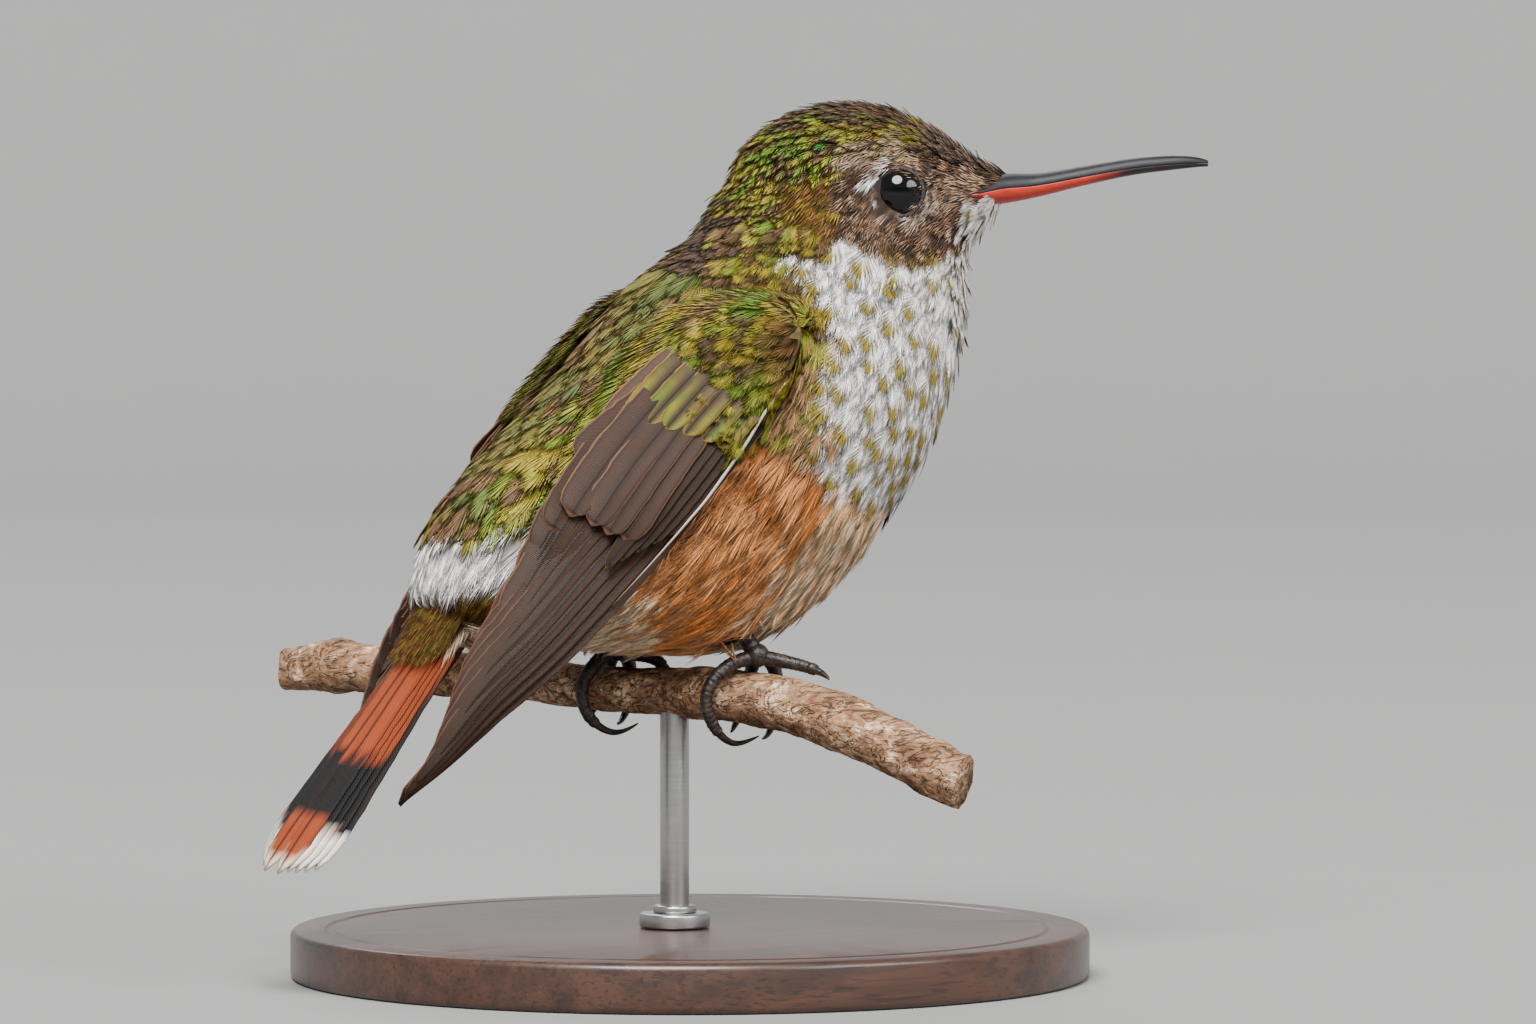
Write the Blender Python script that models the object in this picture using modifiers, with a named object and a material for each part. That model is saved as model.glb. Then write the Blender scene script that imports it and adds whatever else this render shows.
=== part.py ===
"""A female coquette hummingbird perched on a cut twig, on a plain round display stand.

All sizes below are in millimetres; meshes are written in metres, +Z up. The bird's trunk faces +X
and its left side is +Y. The origin is the centre of the stand's underside.
"""

import math

import bmesh
import bpy
from mathutils import Matrix, Vector
from mathutils.bvhtree import BVHTree

MM = 0.001
GAP = 0.3  # clear space between pieces that meet

# Stand
BASE_RADIUS = 26.0
BASE_HEIGHT = 3.2
BASE_CHAMFER = 0.5
BASE_SIDES = 48
ROD_SIDES = 20
ROD_RADIUS = 0.95
ROD_SEAT = 1.5  # how far the rod enters the base and the twig
COLLAR_RADIUS = 2.3
COLLAR_HEIGHT = 0.7

# The twig runs level with the picture plane, which is turned from the trunk's plane by HEAD_YAW.
HEAD_YAW = -30.0  # degrees, the head looks to the bird's right
TWIG_RECEDE = 0.36  # how far its left end swings away, per unit of length
TWIG_PIVOT = -1.2  # the place along it that the swing turns about
TWIG_FORWARD = 0.7  # how far it stands in front of the trunk's own axis
TWIG_RINGS = 30
BARK_RIPPLE = 0.05
TWIG_ROUNDNESS = 3  # bevel resolution of its section
# Along the picture plane, height, radius.
TWIG_STATIONS = (
    (-26.8, 19.5, 1.42),
    (-23.2, 19.8, 1.72),
    (-19.6, 19.5, 1.52),
    (-12.0, 19.3, 1.42),
    (-5.6, 18.7, 1.50),
    (1.2, 18.5, 1.66),
    (5.2, 18.1, 1.80),
    (8.6, 17.2, 1.86),
    (13.0, 15.4, 1.82),
    (17.6, 13.2, 1.80),
)
ROD_ALONG = -1.0  # where the rod meets the twig, along the picture plane

# Trunk sections: centre x, centre z, pitch of the axis, dorsal radius, ventral radius, half width.
TRUNK_SIDES = 24
TRUNK_RINGS = 24
TRUNK_STATIONS = {
    "tail_root": (-17.6, 23.3, 51.0, 2.5, 3.0, 4.7),
    "rump": (-15.1, 25.0, 50.0, 5.0, 5.0, 6.3),
    "vent": (-11.3, 26.6, 48.0, 7.7, 7.9, 8.1),
    "belly": (-6.2, 29.0, 46.0, 9.4, 11.6, 9.4),
    "waist": (-1.6, 32.3, 49.0, 10.2, 13.1, 9.8),
    "breast": (2.9, 35.9, 52.0, 11.2, 12.6, 9.8),
    "shoulder": (6.6, 39.8, 57.0, 11.0, 12.0, 9.3),
    "collar": (9.2, 43.5, 65.0, 9.7, 10.7, 8.3),
    "neck": (10.7, 47.0, 74.0, 9.0, 9.6, 7.2),
    "nape": (11.4, 50.2, 84.0, 8.4, 8.2, 6.2),
}
NECK_TURN_FROM = 5.0  # ring station where the yaw towards the head begins

# Head sections, along the bill's direction from the head's centre: forward, top, bottom, half width.
HEAD_CENTRE = (12.0, 0.0, 51.0)
HEAD_SIDES = 20
HEAD_RINGS = 16
HEAD_STATIONS = (
    (-8.5, -0.6, -3.6, 1.5),
    (-7.5, 2.6, -5.0, 3.5),
    (-5.4, 4.6, -5.6, 5.1),
    (-2.6, 5.9, -6.0, 6.1),
    (0.6, 6.15, -6.3, 6.3),
    (3.4, 5.55, -6.2, 5.7),
    (5.8, 4.4, -5.5, 4.5),
    (7.7, 3.1, -4.1, 3.1),
    (9.1, 2.0, -2.5, 2.0),
    (9.95, 1.35, -1.3, 1.4),
)
HEAD_CUT = (11.0, 0.0, 47.4)  # a point on the thin cut under the head
NECK_CUT = (9.0, 0.0, 42.6)  # a point on the thin cut above the trunk
CUT_LEAN = 14.0  # degrees, both cuts tip forward

EYE_RADIUS = 1.95
EYE_SEGMENTS = 16
EYE_RINGS = 10
EYE_PLACE = (3.2, 4.15, 0.0)  # forward, sideways, up from the head's centre

# Bill: forward from the head's centre, height of the tomium, upper depth, lower depth, half width.
BILL_GAP = 0.12
BILL_SIDES = 6
BILL_STATIONS = (
    (10.15, -0.35, 1.05, 0.95, 1.10),
    (12.4, 0.30, 0.85, 0.75, 0.90),
    (15.4, 1.02, 0.72, 0.55, 0.72),
    (18.6, 1.58, 0.66, 0.42, 0.58),
    (21.2, 1.84, 0.58, 0.34, 0.46),
    (22.8, 1.92, 0.40, 0.24, 0.32),
    (23.6, 1.90, 0.20, 0.16, 0.17),
)

# Right wing: its upper (trailing) and lower (leading) edges from the wrist to the tip. The left wing
# mirrors it and hangs a little lower.
WING_UPPER = (
    (3.6, -7.2, 43.6),
    (-3.0, -6.0, 42.2),
    (-9.2, -5.8, 36.8),
    (-14.0, -6.2, 31.0),
    (-17.0, -6.6, 25.8),
    (-20.0, -6.5, 21.2),
    (-22.2, -5.8, 16.1),
    (-24.1, -4.7, 12.9),
)
WING_LOWER = (
    (3.6, -9.6, 39.8),
    (0.3, -10.0, 36.6),
    (-4.0, -10.0, 31.5),
    (-9.0, -9.2, 25.8),
    (-13.7, -7.9, 20.8),
    (-17.0, -6.8, 17.8),
    (-20.8, -5.7, 14.8),
    (-24.3, -4.4, 12.5),
)
WING_ROWS = 22
WING_COLUMNS = 10
WING_BULGE = 0.7
WING_THICKNESS = 0.6  # one layer of flight feathers
WING_LAYERS = ((0.56, 0.72, 0.45), (0.34, 1.0, 0.45))  # reach along, reach across, added thickness
FEATHER_STEP = 0.16
WRIST_LENGTH = 0.1  # share of the wing over which its blunt front end rounds off
LEFT_WING_DROOP = 2.0  # degrees

# Tail: root and tip of its middle line, half widths and feather lobes.
TAIL_ROOT = (-18.1, 23.0)
TAIL_TIP = (-29.9, 8.0)
TAIL_HALF_WIDTHS = (4.6, 5.1, 5.2)
TAIL_ARCH = 0.45
TAIL_ROLL = 6.0  # degrees, the right edge carried higher
TAIL_THICKNESS = 0.7
TAIL_LOBES = 5
TAIL_NOTCH = 1.6  # depth of the notches between the feather tips
TAIL_SHORTENING = 2.6  # how much shorter the outermost feathers are
TAIL_ROWS = 7
TAIL_COLUMNS = 24

# Feet: each toe is a path of (along the twig, angle round it, height over the bark), in mm and degrees.
# Angle 0 is the top of the twig, positive towards the camera side.
PAD_RADIUS = 0.8
TOE_RADIUS = 0.5
CLAW_RADIUS = 0.17
FRONT_TOE = 1  # the toe that lies along the top of the twig, under the belly
TOE_SHARE = 0.62  # share of a toe's path before its claw
SHANK_RADII = (0.95, 0.6, 0.65)  # at the hip, mid shank and ankle
BED_RADII = (1.4, 2.2)  # the hollow in the belly that clears each leg and the tops of its toes
TOE_LIFT = TOE_RADIUS + GAP
RINGS_PER_KNOT = 3  # along a toe's path
TOE_START = 0.15  # share of the way to its first knot at which a toe leaves the pad
MID_SHANK = 0.45
FEET = {
    "right": {
        "pad": (4.2, 8.0),
        "hip": (1.2, -3.6, 23.4),
        "toes": (
            ((-1.3, 40.0, 0.1), (-2.2, 85.0, 0.1), (-1.9, 130.0, 0.2), (-0.9, 172.0, 0.5), (0.3, 198.0, 0.0)),
            ((1.3, 0.0, 0.1), (2.6, -4.0, 0.05), (3.6, 4.0, 0.0), (4.3, 14.0, -0.1)),
            ((0.4, -45.0, 0.1), (0.6, -95.0, 0.1), (0.7, -140.0, 0.1), (0.7, -172.0, 0.0)),
            ((-0.9, -42.0, 0.1), (-1.5, -90.0, 0.1), (-1.7, -135.0, 0.1), (-1.6, -165.0, 0.0)),
        ),
    },
    "left": {
        "pad": (-4.9, 0.0),
        "hip": (-4.6, 3.4, 23.6),
        "toes": (
            ((-0.7, 40.0, 0.1), (-1.3, 88.0, 0.1), (-0.9, 132.0, 0.3), (0.2, 172.0, 0.5), (1.3, 200.0, 0.0)),
            ((0.9, -18.0, 0.1), (1.9, -34.0, 0.1), (2.7, -60.0, 0.1), (3.0, -88.0, 0.0)),
            ((0.2, -48.0, 0.1), (0.2, -95.0, 0.1), (0.1, -140.0, 0.1), (0.1, -172.0, 0.0)),
            ((-0.9, -40.0, 0.1), (-1.6, -88.0, 0.1), (-1.9, -132.0, 0.1), (-1.9, -162.0, 0.0)),
        ),
    },
}

COLOURS = {  # name: (red, green, blue, roughness, metallic)
    "green_plumage": (0.20, 0.22, 0.03, 0.45, 0.3),
    "pale_plumage": (0.62, 0.52, 0.42, 0.8, 0.0),
    "wing_feather": (0.075, 0.055, 0.045, 0.55, 0.0),
    "tail_feather": (0.38, 0.12, 0.04, 0.6, 0.0),
    "horn_black": (0.02, 0.02, 0.025, 0.3, 0.0),
    "horn_red": (0.55, 0.08, 0.04, 0.35, 0.0),
    "eye_dark": (0.008, 0.006, 0.005, 0.05, 0.0),
    "foot_scale": (0.03, 0.022, 0.022, 0.45, 0.0),
    "bark": (0.36, 0.27, 0.19, 0.9, 0.0),
    "stand_wood": (0.05, 0.03, 0.02, 0.4, 0.0),
    "stand_steel": (0.55, 0.55, 0.56, 0.3, 1.0),
}


def clear_scene():
    for item in list(bpy.data.objects):
        bpy.data.objects.remove(item)


def new_collection(name):
    made = bpy.data.collections.new(name)
    bpy.context.scene.collection.children.link(made)
    return made


def material(name):
    made = bpy.data.materials.get(name)
    if made is None:
        red, green, blue, roughness, metallic = COLOURS[name]
        made = bpy.data.materials.new(name)
        made.use_nodes = True
        shader = made.node_tree.nodes["Principled BSDF"]
        shader.inputs["Base Color"].default_value = (red, green, blue, 1.0)
        shader.inputs["Roughness"].default_value = roughness
        shader.inputs["Metallic"].default_value = metallic
        made.diffuse_color = (red, green, blue, 1.0)
    return made


def mesh_object(name, points, faces, finish, collection):
    """An object from points in millimetres, with its normals facing out."""
    mesh = bpy.data.meshes.new(name)
    mesh.from_pydata([Vector(p) * MM for p in points], [], faces)
    tidy = bmesh.new()
    tidy.from_mesh(mesh)
    bmesh.ops.triangulate(tidy, faces=tidy.faces[:])
    bmesh.ops.recalc_face_normals(tidy, faces=tidy.faces[:])
    tidy.to_mesh(mesh)
    tidy.free()
    mesh.shade_smooth()
    made = bpy.data.objects.new(name, mesh)
    made.data.materials.append(material(finish))
    collection.objects.link(made)
    return made


def keep_in(item, collection):
    """Moves an object that an operator made into the given collection alone."""
    for owner in list(item.users_collection):
        owner.objects.unlink(item)
    collection.objects.link(item)


def hide_cutter(cutter):
    cutter.hide_render = True
    cutter.display_type = "WIRE"


def smooth_value(keys, at):
    """Catmull-Rom interpolation of a list of tuples, at 0 for the first and 1 for the last."""
    place = min(max(at, 0.0), 1.0) * (len(keys) - 1)
    i = min(int(place), len(keys) - 2)
    t = place - i
    before, start, end, after = (keys[min(max(k, 0), len(keys) - 1)] for k in (i - 1, i, i + 1, i + 2))
    return tuple(
        0.5 * (2 * b + (c - a) * t + (2 * a - 5 * b + 4 * c - d) * t * t + (3 * b - a - 3 * c + d) * t ** 3)
        for a, b, c, d in zip(before, start, end, after)
    )


def closed_loft(rings):
    """Points and faces of a tube through rings of equal length, closed by a fan at each end."""
    sides = len(rings[0])
    points = [p for ring in rings for p in ring]
    faces = []
    for i in range(len(rings) - 1):
        for j in range(sides):
            k = (j + 1) % sides
            faces.append((i * sides + j, i * sides + k, (i + 1) * sides + k, (i + 1) * sides + j))
    for ring, turn in ((0, 1), (len(rings) - 1, -1)):
        middle = len(points)
        points.append(sum((Vector(p) for p in rings[ring]), Vector()) / sides)
        for j in range(sides):
            faces.append((ring * sides + j, ring * sides + (j + 1) % sides, middle)[::turn])
    return points, faces


def sheet_solid(outer, inner):
    """Points and faces of a closed plate between two grids of points, rows of equal length."""
    rows, columns = len(outer), len(outer[0])
    points = [p for grid in (outer, inner) for row in grid for p in row]
    size = rows * columns
    faces = []
    for i in range(rows - 1):
        for j in range(columns - 1):
            a, b = i * columns + j, (i + 1) * columns + j
            faces.append((a, a + 1, b + 1, b))
            faces.append((size + a, size + b, size + b + 1, size + a + 1))
    rim = list(range(columns))
    rim += [i * columns + columns - 1 for i in range(1, rows)]
    rim += [(rows - 1) * columns + j for j in range(columns - 2, -1, -1)]
    rim += [i * columns for i in range(rows - 2, 0, -1)]
    for a, b in zip(rim, rim[1:] + rim[:1]):
        faces.append((a, size + a, size + b, b))
    return points, faces


def in_view(along, away, up):
    """A point from the picture plane's own axes: along it, away from the viewer, and up."""
    turn = math.radians(HEAD_YAW)
    return Vector((
        math.cos(turn) * along - math.sin(turn) * away,
        math.sin(turn) * along + math.cos(turn) * away,
        up,
    ))


# ---------------------------------------------------------------- body


def trunk_rings():
    keys = list(TRUNK_STATIONS.values())
    rings = []
    for i in range(TRUNK_RINGS):
        at = i / (TRUNK_RINGS - 1)
        x, z, pitch, dorsal, ventral, half = smooth_value(keys, at)
        turned = max(0.0, at * (len(keys) - 1) - NECK_TURN_FROM) / (len(keys) - 1 - NECK_TURN_FROM)
        yaw = Matrix.Rotation(math.radians(HEAD_YAW) * turned, 3, "Z")
        lean = math.radians(pitch)
        up = yaw @ Vector((-math.sin(lean), 0, math.cos(lean)))
        side = yaw @ Vector((0, 1, 0))
        ring = []
        for j in range(TRUNK_SIDES):
            angle = 2 * math.pi * j / TRUNK_SIDES
            reach = dorsal if math.cos(angle) > 0 else ventral
            ring.append(Vector((x, 0, z)) + up * reach * math.cos(angle) + side * half * math.sin(angle))
        rings.append(ring)
    return rings


def head_point(forward, sideways, up):
    """A point given in the head's own turned frame."""
    turned = Matrix.Rotation(math.radians(HEAD_YAW), 3, "Z")
    return Vector(HEAD_CENTRE) + turned @ Vector((forward, sideways, up))


def head_rings():
    rings = []
    for i in range(HEAD_RINGS):
        forward, top, bottom, half = smooth_value(HEAD_STATIONS, i / (HEAD_RINGS - 1))
        middle, reach = (top + bottom) / 2, (top - bottom) / 2
        ring = []
        for j in range(HEAD_SIDES):
            angle = 2 * math.pi * j / HEAD_SIDES
            ring.append(head_point(forward, half * math.sin(angle), middle + reach * math.cos(angle)))
        rings.append(ring)
    return rings


def boolean(target, cutter, operation):
    step = target.modifiers.new(operation.lower(), "BOOLEAN")
    step.operation = operation
    step.object = cutter
    step.solver = "EXACT"


def applied_mesh(item):
    bpy.context.view_layer.update()
    graph = bpy.context.evaluated_depsgraph_get()
    return bpy.data.meshes.new_from_object(item.evaluated_get(graph))


def slice_between(name, mesh, low, high, finish, collection):
    """The part of a closed mesh between two planes, each (point, normal) in millimetres, or None."""
    cut = bmesh.new()
    cut.from_mesh(mesh)
    for plane, keep_above in ((low, True), (high, False)):
        if plane is None:
            continue
        place, normal = plane
        result = bmesh.ops.bisect_plane(
            cut,
            geom=cut.verts[:] + cut.edges[:] + cut.faces[:],
            plane_co=Vector(place) * MM,
            plane_no=normal,
            clear_inner=keep_above,
            clear_outer=not keep_above,
        )
        edges = [e for e in result["geom_cut"] if isinstance(e, bmesh.types.BMEdge)]
        bmesh.ops.holes_fill(cut, edges=edges)
    bmesh.ops.triangulate(cut, faces=cut.faces[:])
    bmesh.ops.recalc_face_normals(cut, faces=cut.faces[:])
    piece = bpy.data.meshes.new(name)
    cut.to_mesh(piece)
    cut.free()
    piece.shade_smooth()
    piece.materials.clear()
    piece.materials.append(material(finish))
    made = bpy.data.objects.new(name, piece)
    collection.objects.link(made)
    return made


def build_body(bird, tools):
    """The head, neck and trunk, modelled whole and parted by two thin cuts."""
    whole = mesh_object("body_whole", *closed_loft(trunk_rings()), "green_plumage", tools)
    skull = mesh_object("head_whole", *closed_loft(head_rings()), "green_plumage", tools)
    boolean(whole, skull, "UNION")
    joined = applied_mesh(whole)
    hide_cutter(whole)
    hide_cutter(skull)
    lean = Vector((math.sin(math.radians(CUT_LEAN)), 0, math.cos(math.radians(CUT_LEAN))))
    half = lean * (GAP / 2)
    head_cut, neck_cut = Vector(HEAD_CUT), Vector(NECK_CUT)
    head = slice_between("head", joined, (head_cut + half, lean), None, "green_plumage", bird)
    slice_between("neck", joined, (neck_cut + half, lean), (head_cut - half, lean), "green_plumage", bird)
    trunk = slice_between("trunk", joined, None, (neck_cut - half, lean), "pale_plumage", bird)
    return head, trunk, BVHTree.FromPolygons(
        [v.co / MM for v in joined.vertices], [tuple(p.vertices) for p in joined.polygons]
    )


def build_eyes(head, bird, tools):
    forward, sideways, up = EYE_PLACE
    for side, name in ((-1, "right"), (1, "left")):
        place = head_point(forward, side * sideways, up) * MM
        balls = ((EYE_RADIUS, "eye_" + name, bird), (EYE_RADIUS + GAP, "socket_" + name, tools))
        for radius, label, keep in balls:
            bpy.ops.mesh.primitive_uv_sphere_add(
                segments=EYE_SEGMENTS, ring_count=EYE_RINGS, radius=radius * MM, location=place
            )
            ball = bpy.context.object
            ball.name = label
            ball.data.materials.append(material("eye_dark"))
            ball.data.shade_smooth()
            keep_in(ball, keep)
        hide_cutter(ball)
        boolean(head, ball, "DIFFERENCE")


def bill_rings(upper):
    rings = []
    for i in range(2 * len(BILL_STATIONS)):
        forward, seam, above, below, half = smooth_value(BILL_STATIONS, i / (2 * len(BILL_STATIONS) - 1))
        flat = seam + (BILL_GAP / 2 if upper else -BILL_GAP / 2)
        reach = above if upper else -below
        ring = []
        for j in range(BILL_SIDES + 1):
            angle = math.pi * j / BILL_SIDES
            ring.append(head_point(forward, half * math.cos(angle), flat + reach * math.sin(angle)))
        rings.append(ring)
    return rings


def build_bill(bird):
    mesh_object("bill_upper", *closed_loft(bill_rings(True)), "horn_black", bird)
    mesh_object("bill_lower", *closed_loft(bill_rings(False)), "horn_red", bird)


# ---------------------------------------------------------------- wings and tail


def clear_of(skin, place):
    """The place itself, or the nearest one that leaves the gap to the body."""
    near, normal, _, _ = skin.find_nearest(place)
    depth = (place - near).dot(normal)
    return place + normal * (GAP - depth) if depth < GAP else place


def wing_thickness(p, q, column):
    """Flight feathers alone at the tip, with two more layers of coverts towards the wrist."""
    thick = WING_THICKNESS + (FEATHER_STEP if column % 2 else 0.0) * min(1.0, 4 * (1 - p))
    for reach, across, extra in WING_LAYERS:
        if p < reach + 0.06 * math.sin(math.pi * q) and q <= across:
            thick += extra
    return thick


def wing_grid(skin):
    """Outer and inner grids of the right wing: a ribbon between its two edges that lies on the body."""
    outer, inner = [], []
    for i in range(WING_ROWS):
        p = i / (WING_ROWS - 1)
        opened = max(0.3, math.sqrt(1 - max(0.0, 1 - p / WRIST_LENGTH) ** 2))
        top, low = Vector(smooth_value(WING_UPPER, p)), Vector(smooth_value(WING_LOWER, p))
        top, low = low.lerp(top, 0.5 + opened / 2), top.lerp(low, 0.5 + opened / 2)
        ahead = Vector(smooth_value(WING_UPPER, p + 0.02)) - Vector(smooth_value(WING_UPPER, p - 0.02))
        out = ahead.cross(low - top).normalized()
        if out.y > 0:
            out = -out
        outer_row, inner_row = [], []
        for j in range(WING_COLUMNS):
            q = j / (WING_COLUMNS - 1)
            place = clear_of(skin, top.lerp(low, q) + out * WING_BULGE * 4 * q * (1 - q))
            inner_row.append(place)
            outer_row.append(place + out * wing_thickness(p, q, j) * opened)
        outer.append(outer_row)
        inner.append(inner_row)
    return outer, inner


def build_wings(skin, bird):
    outer, inner = wing_grid(skin)
    mesh_object("wing_right", *sheet_solid(outer, inner), "wing_feather", bird)
    pivot = Vector(WING_LOWER[0])
    to_left = Matrix.Scale(-1, 3, (0, 1, 0)) @ Matrix.Rotation(math.radians(-LEFT_WING_DROOP), 3, "Y")
    mirrored_pivot = Vector((pivot.x, -pivot.y, pivot.z))
    left_inner = [
        [clear_of(skin, mirrored_pivot + to_left @ (place - pivot)) for place in row] for row in inner
    ]
    left_outer = [
        [moved + to_left @ (over - under) for under, over, moved in zip(*rows)]
        for rows in zip(inner, outer, left_inner)
    ]
    mesh_object("wing_left", *sheet_solid(left_outer, left_inner), "wing_feather", bird)


def build_tail(bird):
    root, tip = Vector((TAIL_ROOT[0], 0, TAIL_ROOT[1])), Vector((TAIL_TIP[0], 0, TAIL_TIP[1]))
    along = tip - root
    length = along.length
    along.normalize()
    roll = Matrix.Rotation(math.radians(-TAIL_ROLL), 3, along)
    back = roll @ Vector((along.z, 0, -along.x))
    side = roll @ Vector((0, 1, 0))
    upper, under = [], []
    for i in range(TAIL_ROWS):
        p = i / (TAIL_ROWS - 1)
        half = smooth_value([(w,) for w in TAIL_HALF_WIDTHS], p)[0]
        upper_row, under_row = [], []
        for j in range(TAIL_COLUMNS):
            q = 2 * j / (TAIL_COLUMNS - 1) - 1
            lobe = abs(math.cos(TAIL_LOBES * math.pi * (q + 1) / 2 + math.pi / 2))
            reach = length - TAIL_NOTCH * (1 - math.sqrt(lobe)) - TAIL_SHORTENING * q * q
            place = root + along * reach * p + side * half * q - back * TAIL_ARCH * q * q
            thick = TAIL_THICKNESS * (1 - 0.25 * p) + (FEATHER_STEP if j % 6 < 3 else 0.0)
            upper_row.append(place + back * thick / 2)
            under_row.append(place - back * TAIL_THICKNESS * (1 - 0.25 * p) / 2)
        upper.append(upper_row)
        under.append(under_row)
    mesh_object("tail", *sheet_solid(upper, under), "tail_feather", bird)


# ---------------------------------------------------------------- twig, feet and stand


def twig_at(along):
    """Centre, radius and the up and near directions of the twig at a place along the picture plane."""
    keys = TWIG_STATIONS
    for i in range(len(keys) - 1):
        if along <= keys[i + 1][0] or i == len(keys) - 2:
            share = (along - keys[i][0]) / (keys[i + 1][0] - keys[i][0])
            _, up, radius = smooth_value(keys, (i + share) / (len(keys) - 1))
            break
    centre = in_view(along, -TWIG_RECEDE * (along - TWIG_PIVOT) - TWIG_FORWARD, up)
    return centre, radius


def twig_frame(along):
    centre, radius = twig_at(along)
    ahead = (twig_at(along + 0.3)[0] - twig_at(along - 0.3)[0]).normalized()
    near = Vector((0, 0, 1)).cross(ahead).normalized() * -1
    return centre, radius, ahead.cross(near).normalized() * -1, near


def on_twig(along, angle, height):
    """A point over the bark; angle 0 is the top, positive towards the viewer."""
    centre, radius, up, near = twig_frame(along)
    if up.z < 0:
        up = -up
    turn = math.radians(angle)
    return centre + (up * math.cos(turn) + near * math.sin(turn)) * (radius + height)


def build_twig(rod_top, bird, tools):
    first, last = TWIG_STATIONS[0][0], TWIG_STATIONS[-1][0]
    path, radii = [], []
    for i in range(TWIG_RINGS):
        centre, radius = twig_at(first + (last - first) * i / (TWIG_RINGS - 1))
        path.append(centre)
        radii.append(radius + BARK_RIPPLE * math.sin(3.1 * i) * math.sin(0.9 * i))
    twig = tube_mesh("perch_twig", path, radii, "bark", bird, fineness=TWIG_ROUNDNESS)
    below = rod_top.z - 4 * ROD_SEAT
    hole = cylinder("rod_hole", ROD_RADIUS + GAP, below, rod_top.z + GAP, rod_top, "bark", tools)
    hide_cutter(hole)
    boolean(twig, hole, "DIFFERENCE")


def cylinder(name, radius, low, high, centre, finish, collection, sides=ROD_SIDES):
    bpy.ops.mesh.primitive_cylinder_add(
        vertices=sides,
        radius=radius * MM,
        depth=(high - low) * MM,
        location=(centre.x * MM, centre.y * MM, (low + high) / 2 * MM),
    )
    made = bpy.context.object
    made.name = name
    made.data.materials.append(material(finish))
    keep_in(made, collection)
    return made


def tube_mesh(name, path, radii, finish, collection, fineness=1):
    """A tapering tube along a path, as a closed mesh object."""
    curve = bpy.data.curves.new(name, "CURVE")
    curve.dimensions = "3D"
    curve.bevel_depth = MM
    curve.bevel_resolution = fineness
    curve.use_fill_caps = True
    spline = curve.splines.new("POLY")
    spline.points.add(len(path) - 1)
    for knot, place, radius in zip(spline.points, path, radii):
        knot.co = (*(Vector(place) * MM), 1.0)
        knot.radius = radius
    guide = bpy.data.objects.new(name + "_guide", curve)
    collection.objects.link(guide)
    mesh = applied_mesh(guide)
    bpy.data.objects.remove(guide)
    weld = bmesh.new()
    weld.from_mesh(mesh)
    bmesh.ops.remove_doubles(weld, verts=weld.verts[:], dist=1e-6)
    bmesh.ops.triangulate(weld, faces=weld.faces[:])
    bmesh.ops.recalc_face_normals(weld, faces=weld.faces[:])
    weld.to_mesh(mesh)
    weld.free()
    mesh.shade_smooth()
    mesh.materials.append(material(finish))
    made = bpy.data.objects.new(name, mesh)
    collection.objects.link(made)
    return made


def toe_path(pad_along, pad_angle, toe):
    ahead, turn, lift = toe[0]
    start = (pad_along + ahead * TOE_START, pad_angle + (turn - pad_angle) * TOE_START)
    knots = [(*start, TOE_LIFT + lift + 0.1)]
    knots += [(pad_along + a, angle, TOE_LIFT + lift) for a, angle, lift in toe]
    steps = RINGS_PER_KNOT * len(knots)
    path = [on_twig(*smooth_value(knots, i / steps)) for i in range(steps + 1)]
    radii = []
    for i in range(steps + 1):
        share = i / steps
        claw = max(0.0, (share - TOE_SHARE) / (1 - TOE_SHARE))
        radii.append(TOE_RADIUS * (1.05 - 0.25 * share) * (1 - claw) + CLAW_RADIUS * claw)
    return path, radii


def hollow_out(trunk, name, path, radii, tools):
    bed = tube_mesh(name, path, radii, "pale_plumage", tools)
    hide_cutter(bed)
    boolean(trunk, bed, "DIFFERENCE")


def build_feet(trunk, bird, tools):
    for side, foot in FEET.items():
        along, angle = foot["pad"]
        ankle = on_twig(along, angle, PAD_RADIUS + GAP)
        hip = Vector(foot["hip"])
        shank = [hip, hip.lerp(ankle, MID_SHANK), ankle]
        leg = tube_mesh("leg_" + side, shank, SHANK_RADII, "foot_scale", bird)
        hollow_out(trunk, "leg_bed_" + side, [hip.lerp(ankle, -0.3), hip.lerp(ankle, 1.5)], BED_RADII, tools)
        bpy.ops.mesh.primitive_ico_sphere_add(subdivisions=2, radius=PAD_RADIUS * MM, location=ankle * MM)
        pad = bpy.context.object
        pad.name = "pad_" + side
        keep_in(pad, tools)
        hide_cutter(pad)
        boolean(leg, pad, "UNION")
        for number, toe in enumerate(foot["toes"]):
            path, radii = toe_path(along, angle, toe)
            piece = tube_mesh(f"toe_{side}_{number}", path, radii, "foot_scale", tools)
            hide_cutter(piece)
            boolean(leg, piece, "UNION")
            if number == FRONT_TOE:
                hollow_out(trunk, "toe_bed_" + side, path, [radius + GAP for radius in radii], tools)


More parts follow.
